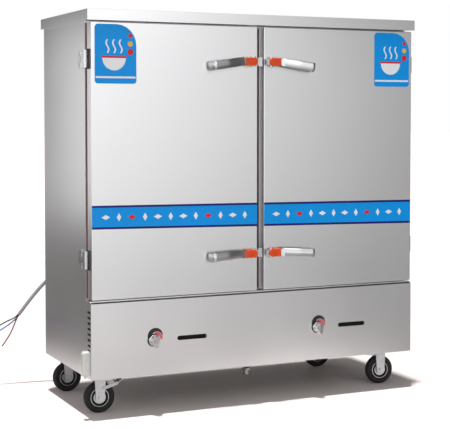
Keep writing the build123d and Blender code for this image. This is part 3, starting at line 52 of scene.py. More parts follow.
NODES = frame["nodes"]
RECORD = frame["record"]
BODY_OF = {node: body for body, members in RECORD["behaviour"]["bodies"].items() for node in members}
SLOT_OF = {row["node"]: row["material_slot"] for row in RECORD["subparts"]}
SIDES = {"left": -1, "right": 1}
ROWS = ("upper", "lower")
MM = 0.001

# Camera of the photograph, fitted to the cabinet's corners
IMAGE_WIDTH, IMAGE_HEIGHT = 450, 429
FOCAL_PIXELS = 1231.9
AXIS_PIXEL = (224.8, 165.0)
CAMERA_PLACE = (-2.150, -4.616, 1.142)
CAMERA_PITCH = 2.35
CAMERA_YAW = 24.78
SENSOR_WIDTH = 36.0

# Sheet metal
SHEET = 1.2 * MM
BEND_RADIUS = 2.5 * MM
EDGE_RADIUS = 0.45 * MM
WELD = 0.002 * MM

# Black plates behind the lower panel's slots and the louvres: painted shade inside the openings
SLOT_CENTRES = (-0.298, 0.408)
SLOT_SHADE_REACH = 70 * MM
SLOT_SHADE_DEPTH = (16 * MM, 17 * MM)
SLOT_SHADE_Z = (0.262, 0.314)
LOUVRE_SHADE_DEPTH = (3.2 * MM, 2.0 * MM)
LOUVRE_SHADE_Y = (-0.290, -0.246)
LOUVRE_SHADE_Z = (0.252, 0.415)

# Black pads behind the hinge blocks: painted shadow beside the blocks on the doors' edges
HINGE_HEIGHTS = (1.347, 0.600)
PAD_THICKNESS = 1.2 * MM
PAD_SETBACK = 12 * MM
PAD_HALF_HEIGHT = 37 * MM

# Latch levers: pin, arm, and the corners of the grip's middle line from the pin as (along, outward)
LATCH_PIN_X = 38.0 * MM
LATCH_PIN_OUT = 15.0 * MM
LATCH_ARM = 50.0 * MM
GRIP_CORNERS = ((0.045, 0.0092), (0.115, 0.0236), (0.181, 0.0296), (0.189, -0.004))
GRIP_BLEND = 8
GRIP_STEP = 4
GRIP_START = 5.0 * MM
GRIP_HALF_WIDTH = 17.0 * MM
GRIP_THICKNESS = 5.0 * MM
GRIP_CROWN = 0.5
GRIP_DROOP = {"upper": 8.6, "lower": 3.8}

# Wheel disc: the recessed ring, painted black as its shade, lies between these radii
WEB_RADII = (23.2 * MM, 34.2 * MM)

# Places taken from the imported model
PANEL_LOW, PANEL_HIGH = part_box("lower_front_panel")
FRONT = PANEL_LOW.y
HALF = PANEL_HIGH.x


# Materials

class Graph:
    """Short calls for building the nodes of one material."""

    def __init__(self, name, colour, roughness, metallic=0.0, **sockets):
        self.material = bpy.data.materials.new(name)
        self.material.use_nodes = True
        self.tree = self.material.node_tree
        self.shader = self.tree.nodes["Principled BSDF"]
        self.shader.inputs["Base Color"].default_value = (*colour, 1)
        self.shader.inputs["Roughness"].default_value = roughness
        self.shader.inputs["Metallic"].default_value = metallic
        for socket, value in sockets.items():
            self.shader.inputs[socket.replace("_", " ")].default_value = value
        self.place = self.add("ShaderNodeTexCoord").outputs["Object"]

    def add(self, kind, **settings):
        node = self.tree.nodes.new(kind)
        for key, value in settings.items():
            setattr(node, key, value)
        return node

    def join(self, source, target):
        self.tree.links.new(source, target)

    def stretched(self, scale):
        """Object coordinates scaled by a different factor along each axis."""
        node = self.add("ShaderNodeMapping")
        node.inputs["Scale"].default_value = scale
        self.join(self.place, node.inputs["Vector"])
        return node.outputs["Vector"]

    def noise(self, scale, stretch=(1, 1, 1), detail=3.0, rough=0.55):
        node = self.add("ShaderNodeTexNoise")
        node.inputs["Scale"].default_value = scale
        node.inputs["Detail"].default_value = detail
        node.inputs["Roughness"].default_value = rough
        self.join(self.stretched(stretch), node.inputs["Vector"])
        return node.outputs["Fac"]

    def spread(self, factor, low, high, source=(0.3, 0.7)):
        """A factor mapped from its usual range to the given one."""
        node = self.add("ShaderNodeMapRange")
        node.inputs["From Min"].default_value = source[0]
        node.inputs["From Max"].default_value = source[1]
        node.inputs["To Min"].default_value = low
        node.inputs["To Max"].default_value = high
        self.join(factor, node.inputs["Value"])
        return node.outputs["Result"]

    def ramp(self, factor, stops):
        node = self.add("ShaderNodeValToRGB")
        elements = node.color_ramp.elements
        while len(elements) < len(stops):
            elements.new(0.5)
        for element, (position, colour) in zip(elements, stops):
            element.position = position
            element.color = (*colour, 1)
        self.join(factor, node.inputs["Fac"])
        return node.outputs["Color"]

    def colour(self, factor, stops):
        self.join(self.ramp(factor, stops), self.shader.inputs["Base Color"])

    def roughness(self, factor, low, high):
        self.join(self.spread(factor, low, high), self.shader.inputs["Roughness"])

    def bump(self, factor, strength, distance):
        node = self.add("ShaderNodeBump")
        node.inputs["Strength"].default_value = strength
        node.inputs["Distance"].default_value = distance
        self.join(factor, node.inputs["Height"])
        previous = self.shader.inputs["Normal"].links
        if previous:
            self.join(previous[0].from_socket, node.inputs["Normal"])
        self.join(node.outputs["Normal"], self.shader.inputs["Normal"])


def shade(colour, factor):
    return tuple(min(1.0, channel * factor) for channel in colour)


def brushed_steel(name, colour, low, high, grain=(1, 1, 90), streak=0.25):
    """Stainless sheet with fine brushing along one direction and faint cloudy stains from handling."""
    graph = Graph(name, colour, low, 1.0)
    lines = graph.noise(22.0, grain, detail=6.0, rough=0.7)
    clouds = graph.noise(2.6, detail=1.5)
    graph.colour(clouds, ((0.1, shade(colour, 0.95)), (0.9, shade(colour, 1.04))))
    graph.join(graph.spread(clouds, low, high, (0.0, 1.0)), graph.shader.inputs["Roughness"])
    graph.bump(lines, streak, 0.00002)
    return graph.material


def smooth_metal(name, colour, low, high, wear=0.15):
    """Chromed or zinc-plated steel with small cloudy differences in gloss."""
    graph = Graph(name, colour, low, 1.0)
    clouds = graph.noise(60.0, detail=4.0)
    graph.colour(clouds, ((0.3, shade(colour, 0.9)), (0.7, shade(colour, 1.05))))
    graph.roughness(clouds, low, high)
    graph.bump(graph.noise(900.0, detail=2.0), wear, 0.00003)
    return graph.material


def moulded(name, colour, low, high, pebble=0.2, gloss=0.5):
    """Moulded plastic or rubber with a fine skin texture."""
    graph = Graph(name, colour, low, 0.0, Specular_IOR_Level=gloss)
    clouds = graph.noise(35.0, detail=3.0)
    graph.colour(clouds, ((0.3, shade(colour, 0.88)), (0.7, shade(colour, 1.08))))
    graph.roughness(clouds, low, high)
    graph.bump(graph.noise(1400.0, detail=2.0), pebble, 0.00006)
    return graph.material


def film(name, colour):
    """Printed plastic film with a faint unevenness in its colour and gloss."""
    graph = Graph(name, colour, 0.3, 0.0, Specular_IOR_Level=0.2)
    clouds = graph.noise(9.0, detail=2.0)
    graph.colour(clouds, ((0.1, shade(colour, 0.97)), (0.9, shade(colour, 1.03))))
    graph.join(graph.spread(clouds, 0.26, 0.36, (0.0, 1.0)), graph.shader.inputs["Roughness"])
    return graph.material


def cast_iron():
    graph = Graph("cast_iron", (0.05, 0.048, 0.045), 0.7, 0.4)
    grains = graph.noise(260.0, detail=5.0)
    graph.colour(graph.noise(14.0), ((0.35, (0.035, 0.034, 0.033)), (0.7, (0.09, 0.06, 0.045))))
    graph.bump(grains, 0.5, 0.0006)
    return graph.material


def mineral_wool():
    graph = Graph("mineral_wool", (0.62, 0.56, 0.36), 0.95)
    fibres = graph.noise(320.0, (1, 1, 6), detail=6.0)
    graph.colour(fibres, ((0.3, (0.45, 0.40, 0.24)), (0.7, (0.74, 0.68, 0.46))))
    graph.bump(fibres, 0.8, 0.002)
    return graph.material


MATERIALS = {
    "body_stainless": brushed_steel("body_stainless", (0.72, 0.72, 0.73), 0.26, 0.33),
    "liner_stainless": brushed_steel("liner_stainless", (0.66, 0.66, 0.67), 0.30, 0.40),
    "frame_stainless": brushed_steel("frame_stainless", (0.48, 0.48, 0.49), 0.34, 0.46, (90, 1, 90)),
    "tray_stainless": brushed_steel("tray_stainless", (0.70, 0.70, 0.71), 0.22, 0.32, (60, 1, 1)),
    "heater_steel": smooth_metal("heater_steel", (0.33, 0.32, 0.31), 0.30, 0.50),
    "gasket_rubber": moulded("gasket_rubber", (0.20, 0.022, 0.018), 0.55, 0.70, 0.2, 0.25),
    "insulation_wool": mineral_wool(),
    "burner_iron": cast_iron(),
    "gas_brass": smooth_metal("gas_brass", (0.60, 0.44, 0.18), 0.25, 0.42),
    "stem_brass": smooth_metal("stem_brass", (0.62, 0.46, 0.20), 0.20, 0.32),
    # Dark grey, darker than the metal's own tone: painted shade that keeps the sunlit drain parts dim
    "drain_brass": smooth_metal("drain_brass", (0.26, 0.25, 0.24), 0.18, 0.34),
    "drain_lever_paint": smooth_metal("drain_lever_paint", (0.45, 0.44, 0.42), 0.25, 0.40),
    "entry_plastic": moulded("entry_plastic", (0.03, 0.03, 0.032), 0.42, 0.55),
    "box_plastic": moulded("box_plastic", (0.60, 0.61, 0.58), 0.34, 0.46, 0.15),
    "hinge_steel": smooth_metal("hinge_steel", (0.62, 0.62, 0.62), 0.20, 0.32),
    "latch_chrome": brushed_steel("latch_chrome", (0.60, 0.60, 0.61), 0.24, 0.34, (2, 90, 90), 0.5),
    "latch_plastic": moulded("latch_plastic", (0.72, 0.065, 0.008), 0.26, 0.36, 0.1, 0.3),
    "knob_plastic": smooth_metal("knob_plastic", (0.66, 0.66, 0.67), 0.10, 0.18),
    "fastener_steel": smooth_metal("fastener_steel", (0.50, 0.50, 0.50), 0.20, 0.32),
    "caster_zinc": smooth_metal("caster_zinc", (0.50, 0.51, 0.53), 0.28, 0.44),
    "rim_steel": smooth_metal("rim_steel", (0.52, 0.52, 0.53), 0.26, 0.42),
    "tyre_rubber": moulded("tyre_rubber", (0.012, 0.012, 0.013), 0.55, 0.72, 0.35, 0.25),
    "pedal_steel": smooth_metal("pedal_steel", (0.42, 0.42, 0.43), 0.26, 0.40),
    "sheath_rubber": moulded("sheath_rubber", (0.26, 0.27, 0.29), 0.42, 0.56, 0.3),
    "core_black_pvc": moulded("core_black_pvc", (0.02, 0.02, 0.022), 0.30, 0.42, 0.05),
    "core_blue_pvc": moulded("core_blue_pvc", (0.02, 0.14, 0.50), 0.30, 0.42, 0.05),
    "core_brown_pvc": moulded("core_brown_pvc", (0.16, 0.055, 0.02), 0.30, 0.42, 0.05),
}
# Black for the plates behind the slots and the louvres: painted shade, not soot
PAINTED_SHADE_BLACK = moulded("painted_shade_black", (0.006, 0.006, 0.006), 0.80, 0.95, 0.4)
# Black for the printed crescents, and for the ring behind each knob, which is painted shade
PRINT_AND_SHADE_BLACK = moulded("print_and_shade_black", (0.01, 0.01, 0.011), 0.32, 0.42, 0.05)
PRINT_RED = moulded("print_red", (0.66, 0.11, 0.14), 0.32, 0.42, 0.05)
# Black for the pads behind the hinge blocks: painted shadow, not rubber
HINGE_SHADOW_BLACK = moulded("hinge_shadow_black", (0.015, 0.015, 0.016), 0.55, 0.70, 0.3, 0.25)
FILM_BLUE = film("film_blue", (0.0, 0.29, 0.78))
FILM_NAVY = film("film_navy", (0.012, 0.010, 0.16))
FILM_WHITE = film("film_white", (0.80, 0.82, 0.84))
FILM_RED = film("film_red", (0.66, 0.02, 0.02))
FILM_YELLOW = film("film_yellow", (0.80, 0.46, 0.03))
# Black for the recessed ring of the wheels: painted shade
RIM_PAINTED_SHADE = moulded("rim_painted_shade", (0.010, 0.010, 0.011), 0.45, 0.60, 0.2, 0.3)


# Building meshes

def new_object(name, mesh):
    obj = bpy.data.objects.new(name, mesh)
    bpy.context.scene.collection.objects.link(obj)
    return obj


def finished(obj, node, materials=None, replaces=()):
    """Gives a piece its materials and its body, and hides the imported nodes that it stands for."""
    if len(obj.data.materials):
        obj.data.materials.clear()
    for material in materials or [MATERIALS[SLOT_OF[node]]]:
        obj.data.materials.append(material)
    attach(obj, BODY_OF[node])
    if replaces:
        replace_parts(obj, *replaces)
    return obj


def mesh_object(name, build, smooth=True):
    """A new object whose mesh is filled by a function that takes a bmesh."""
    mesh = bpy.data.meshes.new(name)
    work = bmesh.new()
    build(work)
    bmesh.ops.recalc_face_normals(work, faces=work.faces)
    work.to_mesh(mesh)
    work.free()
    if smooth:
        mesh.shade_smooth()
    return new_object(name, mesh)


def bevelled(obj, width, segments=2, angle=32.0):
    """Rounds an object's sharp edges, keeps its flats flat and its curves smooth."""
    modifier = obj.modifiers.new("edges", "BEVEL")
    modifier.width = width
    modifier.segments = segments
    modifier.limit_method = "ANGLE"
    modifier.angle_limit = math.radians(angle)
    weighted = obj.modifiers.new("normals", "WEIGHTED_NORMAL")
    weighted.keep_sharp = True


def clear_normals(mesh):
    """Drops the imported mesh's own normals, so that they are worked out again."""
    for name in [layer.name for layer in mesh.attributes if layer.name == "custom_normal"]:
        mesh.attributes.remove(mesh.attributes[name])
    mesh.shade_smooth()


def softened(node, width=EDGE_RADIUS, segments=2):
    """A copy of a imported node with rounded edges, which stands for it."""
    mesh = NODES[node].data.copy()
    work = bmesh.new()
    work.from_mesh(mesh)
    bmesh.ops.remove_doubles(work, verts=work.verts, dist=WELD)
    bmesh.ops.dissolve_limit(work, angle_limit=math.radians(1.0), verts=work.verts, edges=work.edges)
    work.to_mesh(mesh)
    work.free()
    clear_normals(mesh)
    obj = new_object(f"{node}_shell", mesh)
    bevelled(obj, width, segments)
    return finished(obj, node, replaces=[node])


def box_faces(work, low, high):
    """Adds a closed box to a bmesh and returns its vertices."""
    made = bmesh.ops.create_cube(work, size=1.0)["verts"]
    low, high = Vector(low), Vector(high)
    for vert in made:
        vert.co = Vector((low[i] + (vert.co[i] + 0.5) * (high[i] - low[i]) for i in range(3)))
    return made


def loft(work, sections):
    """Joins rings of points into one closed skin."""
    rings = [[work.verts.new(point) for point in section] for section in sections]
    count = len(rings[0])
    for first, second in zip(rings, rings[1:]):
        for index in range(count):
            after = (index + 1) % count
            work.faces.new((first[index], first[after], second[after], second[index]))
    work.faces.new(list(reversed(rings[0])))
    work.faces.new(rings[-1])


def flat_shape(work, outline, y_front, y_back, material=0):
    """Adds a thin plate, open at its back, with the outline given as (x, z) pairs."""
    front = [work.verts.new((x, y_front, z)) for x, z in outline]
    back = [work.verts.new((x, y_back, z)) for x, z in outline]
    faces = [work.faces.new(front)]
    for index in range(len(outline)):
        after = (index + 1) % len(outline)
        faces.append(work.faces.new((front[index], back[index], back[after], front[after])))
    for face in faces:
        face.material_index = material


def disc(centre, radius, steps=28, start=0.0, end=360.0):
    """Points of a circle, or of part of one, as (x, z) pairs."""
    whole = abs(end - start) >= 360.0
    count = steps if whole else steps + 1
    points = []
    for index in range(count):
        angle = math.radians(start + (end - start) * index / steps)
        points.append((centre[0] + radius * math.cos(angle), centre[1] + radius * math.sin(angle)))
    return points


def rounded_rectangle(x0, x1, z0, z1, radii):
    """Outline of a rectangle whose corner radii are given from the lower left, counter-clockwise."""
    corners = ((x0, z0, 180, 1, 1), (x1, z0, 270, -1, 1), (x1, z1, 0, -1, -1), (x0, z1, 90, 1, -1))
    points = []
    for (x, z, start, side_x, side_z), radius in zip(corners, radii):
        centre = (x + side_x * radius, z + side_z * radius)
        points += disc(centre, radius, 6, start, start + 90)
    return points


# Casing

def door_shell(skin):
    """A door's folded outer sheet, open towards the cabinet, with rounded edges."""
    low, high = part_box(skin)

    def build(work):
        box_faces(work, low, high)
        lid = [face for face in work.faces if abs(face.calc_center_median().y - high.y) < 1e-6]
        bmesh.ops.delete(work, geom=lid, context="FACES_ONLY")
        edges = [edge for edge in work.edges if len(edge.link_faces) == 2]
        bmesh.ops.bevel(work, geom=edges, offset=BEND_RADIUS, segments=3, profile=0.5, affect="EDGES")
    obj = mesh_object(f"{skin}_shell", build)
    thick = obj.modifiers.new("sheet", "SOLIDIFY")
    thick.thickness = SHEET
    thick.offset = -1
    weighted = obj.modifiers.new("normals", "WEIGHTED_NORMAL")
    weighted.keep_sharp = True
    finished(obj, skin, replaces=[skin])


def make_doors():
    for side in SIDES:
        door_shell(f"{side}_door_skin")
        softened(f"{side}_door_liner")
        softened(f"{side}_door_gasket", 3.0 * MM, 3)
        softened(f"{side}_door_hardware", 0.8 * MM, 3)


def make_casing():
    for node, width in (
        ("top_cover", 1.2 * MM),
        ("left_side_panel", EDGE_RADIUS),
        ("right_side_panel", EDGE_RADIUS),
        ("back_panel", EDGE_RADIUS),
        ("lower_front_panel", EDGE_RADIUS),
        ("door_frame", EDGE_RADIUS),
        ("ignition_box", 2.0 * MM),
        ("cabinet_hardware", 0.6 * MM),
        ("base_frame", 0.6 * MM),
        ("drain_valve", 0.8 * MM),
        ("drain_lever", 0.8 * MM),
        ("cable_entry", 0.6 * MM),
        ("caster_plates", 0.5 * MM),
        ("fasteners", 0.5 * MM),
        ("gas_manifold", 0.6 * MM),
        ("steaming_trays", 0.3 * MM),
    ):
        softened(node, width)


def paint_web_shade(rim, tyre_box):
    """Paints the shade of a wheel's recessed ring black, between its hub disc and its bright lip."""
    low, high = tyre_box
    centre = (low + high) / 2
    rim.data.materials.append(RIM_PAINTED_SHADE)
    for face in rim.data.polygons:
        reaches = [rim.data.vertices[index].co - centre for index in face.vertices]
        radii = [math.hypot(reach.x, reach.z) for reach in reaches]
        if min(radii) > WEB_RADII[0] and max(radii) < WEB_RADII[1]:
            face.material_index = 1


def make_casters():
    for side in SIDES:
        for row in ("front", "rear"):
            name = f"{row}_{side}"
            softened(f"{name}_caster_fork", 0.6 * MM)
            paint_web_shade(softened(f"{name}_caster_rim", 0.4 * MM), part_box(f"{name}_caster_tyre"))
            softened(f"{name}_caster_tyre", 0.6 * MM)
    for row in ("front", "rear"):
        softened(f"{row}_left_brake_pedal", 0.6 * MM)


def make_knobs():
    for side in SIDES:
        softened(f"{side}_knob", 0.8 * MM, 3)


def rounded_block(work, low, high, radius=0.3 * MM):
    """Adds a closed box with rounded edges to a bmesh."""
    made = box_faces(work, low, high)
    edges = {edge for vert in made for edge in vert.link_edges}
    bmesh.ops.bevel(work, geom=list(edges), offset=radius, segments=2, affect="EDGES")


def make_shades():
    """Black plates that paint the shade behind the slots of the lower panel and behind the louvres."""
    def behind_slots(work):
        depths = [FRONT + depth for depth in SLOT_SHADE_DEPTH]
        for x in SLOT_CENTRES:
            rounded_block(work, (x - SLOT_SHADE_REACH, depths[0], SLOT_SHADE_Z[0]),
                          (x + SLOT_SHADE_REACH, depths[1], SLOT_SHADE_Z[1]))
    finished(mesh_object("slot_shades", behind_slots, smooth=False), "lower_front_panel", [PAINTED_SHADE_BLACK])
    for side, sign in SIDES.items():
        def behind_louvres(work):
            edges = sorted(sign * (HALF - depth) for depth in LOUVRE_SHADE_DEPTH)
            rounded_block(work, (edges[0], LOUVRE_SHADE_Y[0], LOUVRE_SHADE_Z[0]),
                          (edges[1], LOUVRE_SHADE_Y[1], LOUVRE_SHADE_Z[1]))
        obj = mesh_object(f"{side}_louvre_shade", behind_louvres, smooth=False)
        finished(obj, f"{side}_side_panel", [PAINTED_SHADE_BLACK])


def make_hinge_shadow_pads():
    """Black pads between the hinge blocks and the doors' edges, which paint the shadow beside the blocks.
    """
    door_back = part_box("left_door_skin")[1].y
    for side, sign in SIDES.items():
        def build(work):
            for z in HINGE_HEIGHTS:
                edges = sorted((sign * (HALF + PAD_THICKNESS), sign * HALF))
                rounded_block(work, (edges[0], FRONT + PAD_SETBACK, z - PAD_HALF_HEIGHT),
                              (edges[1], door_back, z + PAD_HALF_HEIGHT))
        obj = mesh_object(f"{side}_hinge_shadow_pads", build, smooth=False)
        finished(obj, f"{side}_door_hardware", [HINGE_SHADOW_BLACK])


def grip_line():
    """Middle line of a grip as (along, outward) pairs from the latch's pin, averaged over its corners."""
    raw = []
    for (x0, y0), (x1, y1) in zip(GRIP_CORNERS, GRIP_CORNERS[1:]):
        count = max(1, round(math.hypot(x1 - x0, y1 - y0) / MM))
        raw += [(x0 + (x1 - x0) * i / count, y0 + (y1 - y0) * i / count) for i in range(count)]
    raw.append(GRIP_CORNERS[-1])
    line = []
    for index in range(0, len(raw), GRIP_STEP):
        reach = min(GRIP_BLEND, index, len(raw) - 1 - index)
        near = raw[index - reach:index + reach + 1]
        line.append((sum(x for x, _ in near) / len(near), sum(y for _, y in near) / len(near)))
    return line


def grip_section(across, outward, place):
    """Ring round a grip: flat towards the door and crowned towards the front."""
    ring = []
    for share in (-0.97, -0.8, -0.6, -0.35, -0.12, 0.12, 0.35, 0.6, 0.8, 0.97):
        ring.append((share, 0.5 - GRIP_CROWN * share * share))
    ring += [(1.0, 0.5 - GRIP_CROWN - 0.1), (1.0, -0.38), (0.96, -0.5), (-0.96, -0.5), (-1.0, -0.38),
             (-1.0, 0.5 - GRIP_CROWN - 0.1)]
    wide, thick = across * GRIP_HALF_WIDTH, outward * GRIP_THICKNESS
    return [place + wide * share + thick * depth for share, depth in ring]


def latch_lever(node, side, row):
    """A latch lever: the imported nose, hub and arm, with a bowed grip that is crowned across its width."""
    sign = SIDES[side]
    droop = math.radians(GRIP_DROOP[row])
    along = Vector((sign * math.cos(droop), 0, -math.sin(droop)))
    across = Vector((sign * math.sin(droop), 0, math.cos(droop)))
    low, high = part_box(f"{row}_{side}_latch_cover")
    pin = Vector((sign * LATCH_PIN_X, FRONT - LATCH_PIN_OUT, (low.z + high.z) / 2))
    arm_end = pin + Vector((sign * LATCH_ARM, 0, 0))
    mesh = NODES[node].data.copy()
    work = bmesh.new()
    work.from_mesh(mesh)
    bmesh.ops.remove_doubles(work, verts=work.verts, dist=WELD)
    bmesh.ops.bisect_plane(work, geom=work.verts[:] + work.edges[:] + work.faces[:],
                           plane_co=arm_end + along * GRIP_START, plane_no=along, clear_outer=True)
    bmesh.ops.holes_fill(work, edges=[edge for edge in work.edges if edge.is_boundary])
    line = grip_line()
    sections = []
    for index, (x, y) in enumerate(line):
        before, after = line[max(0, index - 1)], line[min(len(line) - 1, index + 1)]
        run = Vector((after[0] - before[0], after[1] - before[1])).normalized()
        outward = along * -run.y + Vector((0, -1, 0)) * run.x
        place = arm_end + along * (x - LATCH_ARM) + Vector((0, -y, 0))
        sections.append(grip_section(across, outward, place))
    loft(work, sections)
    bmesh.ops.recalc_face_normals(work, faces=work.faces)
    work.to_mesh(mesh)
    work.free()
    clear_normals(mesh)
    obj = new_object(f"{node}_shell", mesh)
    bevelled(obj, 0.6 * MM, 2, 40.0)
    return finished(obj, node, replaces=[node])


def make_latches():
    for side in SIDES:
        for row in ROWS:
            latch_lever(f"{row}_{side}_latch_lever", side, row)
            softened(f"{row}_{side}_latch_cover", 2.5 * MM, 4)


# Films on the doors and the dials on the panel

FILM, FILM_SUNK = 0.25 * MM, 0.05 * MM
KNOB_RADIUS = 22 * MM
DIAL_SHIFT = (7 * MM, 15 * MM)
BLACK_RADII, BLACK_SHIFT, BLACK_ANGLES = (31 * MM, 25 * MM), (6 * MM, -8 * MM), (10, 200)
RED_RADII, RED_SHIFT, RED_ANGLES = (24 * MM, 18 * MM), (-3 * MM, -6 * MM), (-8, 112)
# Black ring behind each knob, a little wider than the knob: painted shade round its edge
SHADE_RING_RADIUS, SHADE_RING_THICKNESS = 25 * MM, 1 * MM
BANNER_LEFT, BANNER_RIGHT = (0.717, 0.805), (0.691, 0.788)
BANNER_EDGE = 8 * MM
BANNER_INSET = 1.0 * MM
DIAMOND_STEP = 52 * MM
FLAT_DIAMOND = (17 * MM, 9 * MM)
TALL_DIAMOND = (9 * MM, 15 * MM)
STICKER_X = {"left": (-0.682, -0.518), "right": (0.517, 0.685)}
STICKER_Z = (1.256, 1.476)
STICKER_RADII = (12 * MM, 12 * MM, 78 * MM, 15 * MM)
LINE_INSET = 4 * MM
LINE_Z = (20 * MM, 27 * MM)
BOWL_ASIDE = 6 * MM
BOWL_HEIGHT = 95 * MM
BOWL_RADIUS = 46 * MM
BOWL_RIM, BOWL_RIM_HEIGHT = 50 * MM, 7 * MM
STEAM_OFFSETS = (-26 * MM, 0.0, 26 * MM)
STEAM_ABOVE, STEAM_RISE, STEAM_STEPS = 18 * MM, 4.2 * MM, 12
STEAM_SWAY, STEAM_HALF = 5 * MM, 3 * MM
DOT_INSET = 24 * MM
# Height, radius and material of each dot
STICKER_DOTS = ((118 * MM, 12 * MM, 2), (148 * MM, 10 * MM, 3), (178 * MM, 8 * MM, 2))


def banner_height(x, share):
    """Height of a line of the banner at one place across the front, share 0 being its lower edge."""
    along = (x + HALF) / (2 * HALF)
    low = BANNER_LEFT[0] + (BANNER_RIGHT[0] - BANNER_LEFT[0]) * along
    high = BANNER_LEFT[1] + (BANNER_RIGHT[1] - BANNER_LEFT[1]) * along
    return low + (high - low) * share


def make_banner(side):
    """Blue band with navy edges and a plain diamond border across one door."""
    low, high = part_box(f"{side}_door_skin")
    x0, x1 = low.x + BANNER_INSET, high.x - BANNER_INSET
    edge = BANNER_EDGE / (BANNER_LEFT[1] - BANNER_LEFT[0])

    def strip(work, bottom, top, layer, material):
        y = FRONT - FILM * layer
        outline = [(x0, banner_height(x0, bottom)), (x1, banner_height(x1, bottom)),
                   (x1, banner_height(x1, top)), (x0, banner_height(x0, top))]
        flat_shape(work, outline, y, FRONT + FILM_SUNK, material)

    def build(work):
        strip(work, 0.0, 1.0, 1, 0)
        strip(work, edge, 1.0 - edge, 1.5, 1)
        count = int((x1 - x0) / DIAMOND_STEP) - 1
        for index in range(count):
            x = (x0 + x1) / 2 + (index - (count - 1) / 2) * DIAMOND_STEP
            z = banner_height(x, 0.5)
            wide, tall = TALL_DIAMOND if index % 2 else FLAT_DIAMOND
            outline = [(x - wide, z), (x, z - tall), (x + wide, z), (x, z + tall)]
            flat_shape(work, outline, FRONT - FILM * 2, FRONT, 3 if index % 6 == 2 else 2)

    obj = mesh_object(f"{side}_door_banner", build, smooth=False)
    finished(obj, f"{side}_door_skin", [FILM_NAVY, FILM_BLUE, FILM_WHITE, FILM_RED])


def bar(x0, x1, z0, z1):
    """Outline of an upright rectangle."""
    return [(x0, z0), (x1, z0), (x1, z1), (x0, z1)]


def steam(middle, base):
    """Outline of one wavy wisp of steam above a place."""
    line = []
    for rise in range(STEAM_STEPS + 1):
        sway = STEAM_SWAY * math.sin(rise / STEAM_STEPS * 2 * math.pi)
        line.append((middle + sway, base + rise * STEAM_RISE))
    return [(x - STEAM_HALF, z) for x, z in line] + [(x + STEAM_HALF, z) for x, z in reversed(line)]


def make_sticker(side):
    """Blue panel with a steaming bowl, in plain shapes."""
    x0, x1 = STICKER_X[side]
    z0, z1 = STICKER_Z
    bowl_x = (x0 + x1) / 2 - BOWL_ASIDE
    bowl_z = z0 + BOWL_HEIGHT

    def build(work):
        panel_front = FRONT - FILM
        print_front = FRONT - 1.5 * FILM
        panel = rounded_rectangle(x0, x1, z0, z1, STICKER_RADII)
        flat_shape(work, panel, panel_front, FRONT + FILM_SUNK, 0)
        line = bar(x0 + LINE_INSET, x1 - LINE_INSET, z0 + LINE_Z[0], z0 + LINE_Z[1])
        flat_shape(work, line, print_front, FRONT, 1)
        flat_shape(work, disc((bowl_x, bowl_z), BOWL_RADIUS, 24, 180, 360), print_front, FRONT, 1)
        rim = bar(bowl_x - BOWL_RIM, bowl_x + BOWL_RIM, bowl_z, bowl_z + BOWL_RIM_HEIGHT)
        flat_shape(work, rim, print_front, FRONT, 2)
        for offset in STEAM_OFFSETS:
            flat_shape(work, steam(bowl_x + offset, bowl_z + STEAM_ABOVE), print_front, FRONT, 1)
        for height, radius, material in STICKER_DOTS:
            dot = disc((x1 - DOT_INSET, z0 + height), radius, 20)
            flat_shape(work, dot, print_front, FRONT, material)

    obj = mesh_object(f"{side}_door_sticker", build, smooth=False)
    finished(obj, f"{side}_door_skin", [FILM_BLUE, FILM_WHITE, FILM_RED, FILM_YELLOW])


def crescent(centre, radii, inner_shift, angles, steps=24):
    """Band between an arc and a second arc about a shifted centre, as (x, z) pairs."""
    outside = disc(centre, radii[0], steps, *angles)
    shifted = (centre[0] + inner_shift[0], centre[1] + inner_shift[1])
    inside = disc(shifted, radii[1], steps, *angles)
    return outside + list(reversed(inside))


def make_dial(side):
    """Black and red printed crescents on the panel above one knob, and a black ring behind the knob that
    paints the shade round its edge.
    """
    low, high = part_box(f"{side}_knob")
    axis = ((low.x + high.x) / 2, high.z - KNOB_RADIUS)
    centre = (axis[0] + DIAL_SHIFT[0], axis[1] + DIAL_SHIFT[1])
    inner = (centre[0] + BLACK_SHIFT[0], centre[1] + BLACK_SHIFT[1])

    def build(work):
        y = FRONT - FILM
        flat_shape(work, crescent(centre, BLACK_RADII, BLACK_SHIFT, BLACK_ANGLES), y, FRONT, 0)
        flat_shape(work, crescent(inner, RED_RADII, RED_SHIFT, RED_ANGLES), y, FRONT, 1)
        # Painted shade: a black ring a little wider than the knob
        flat_shape(work, disc(axis, SHADE_RING_RADIUS, 36), FRONT - SHADE_RING_THICKNESS, FRONT, 0)

    obj = mesh_object(f"{side}_dial_print_and_shade", build, smooth=False)
    finished(obj, "lower_front_panel", [PRINT_AND_SHADE_BLACK, PRINT_RED])


# Cords

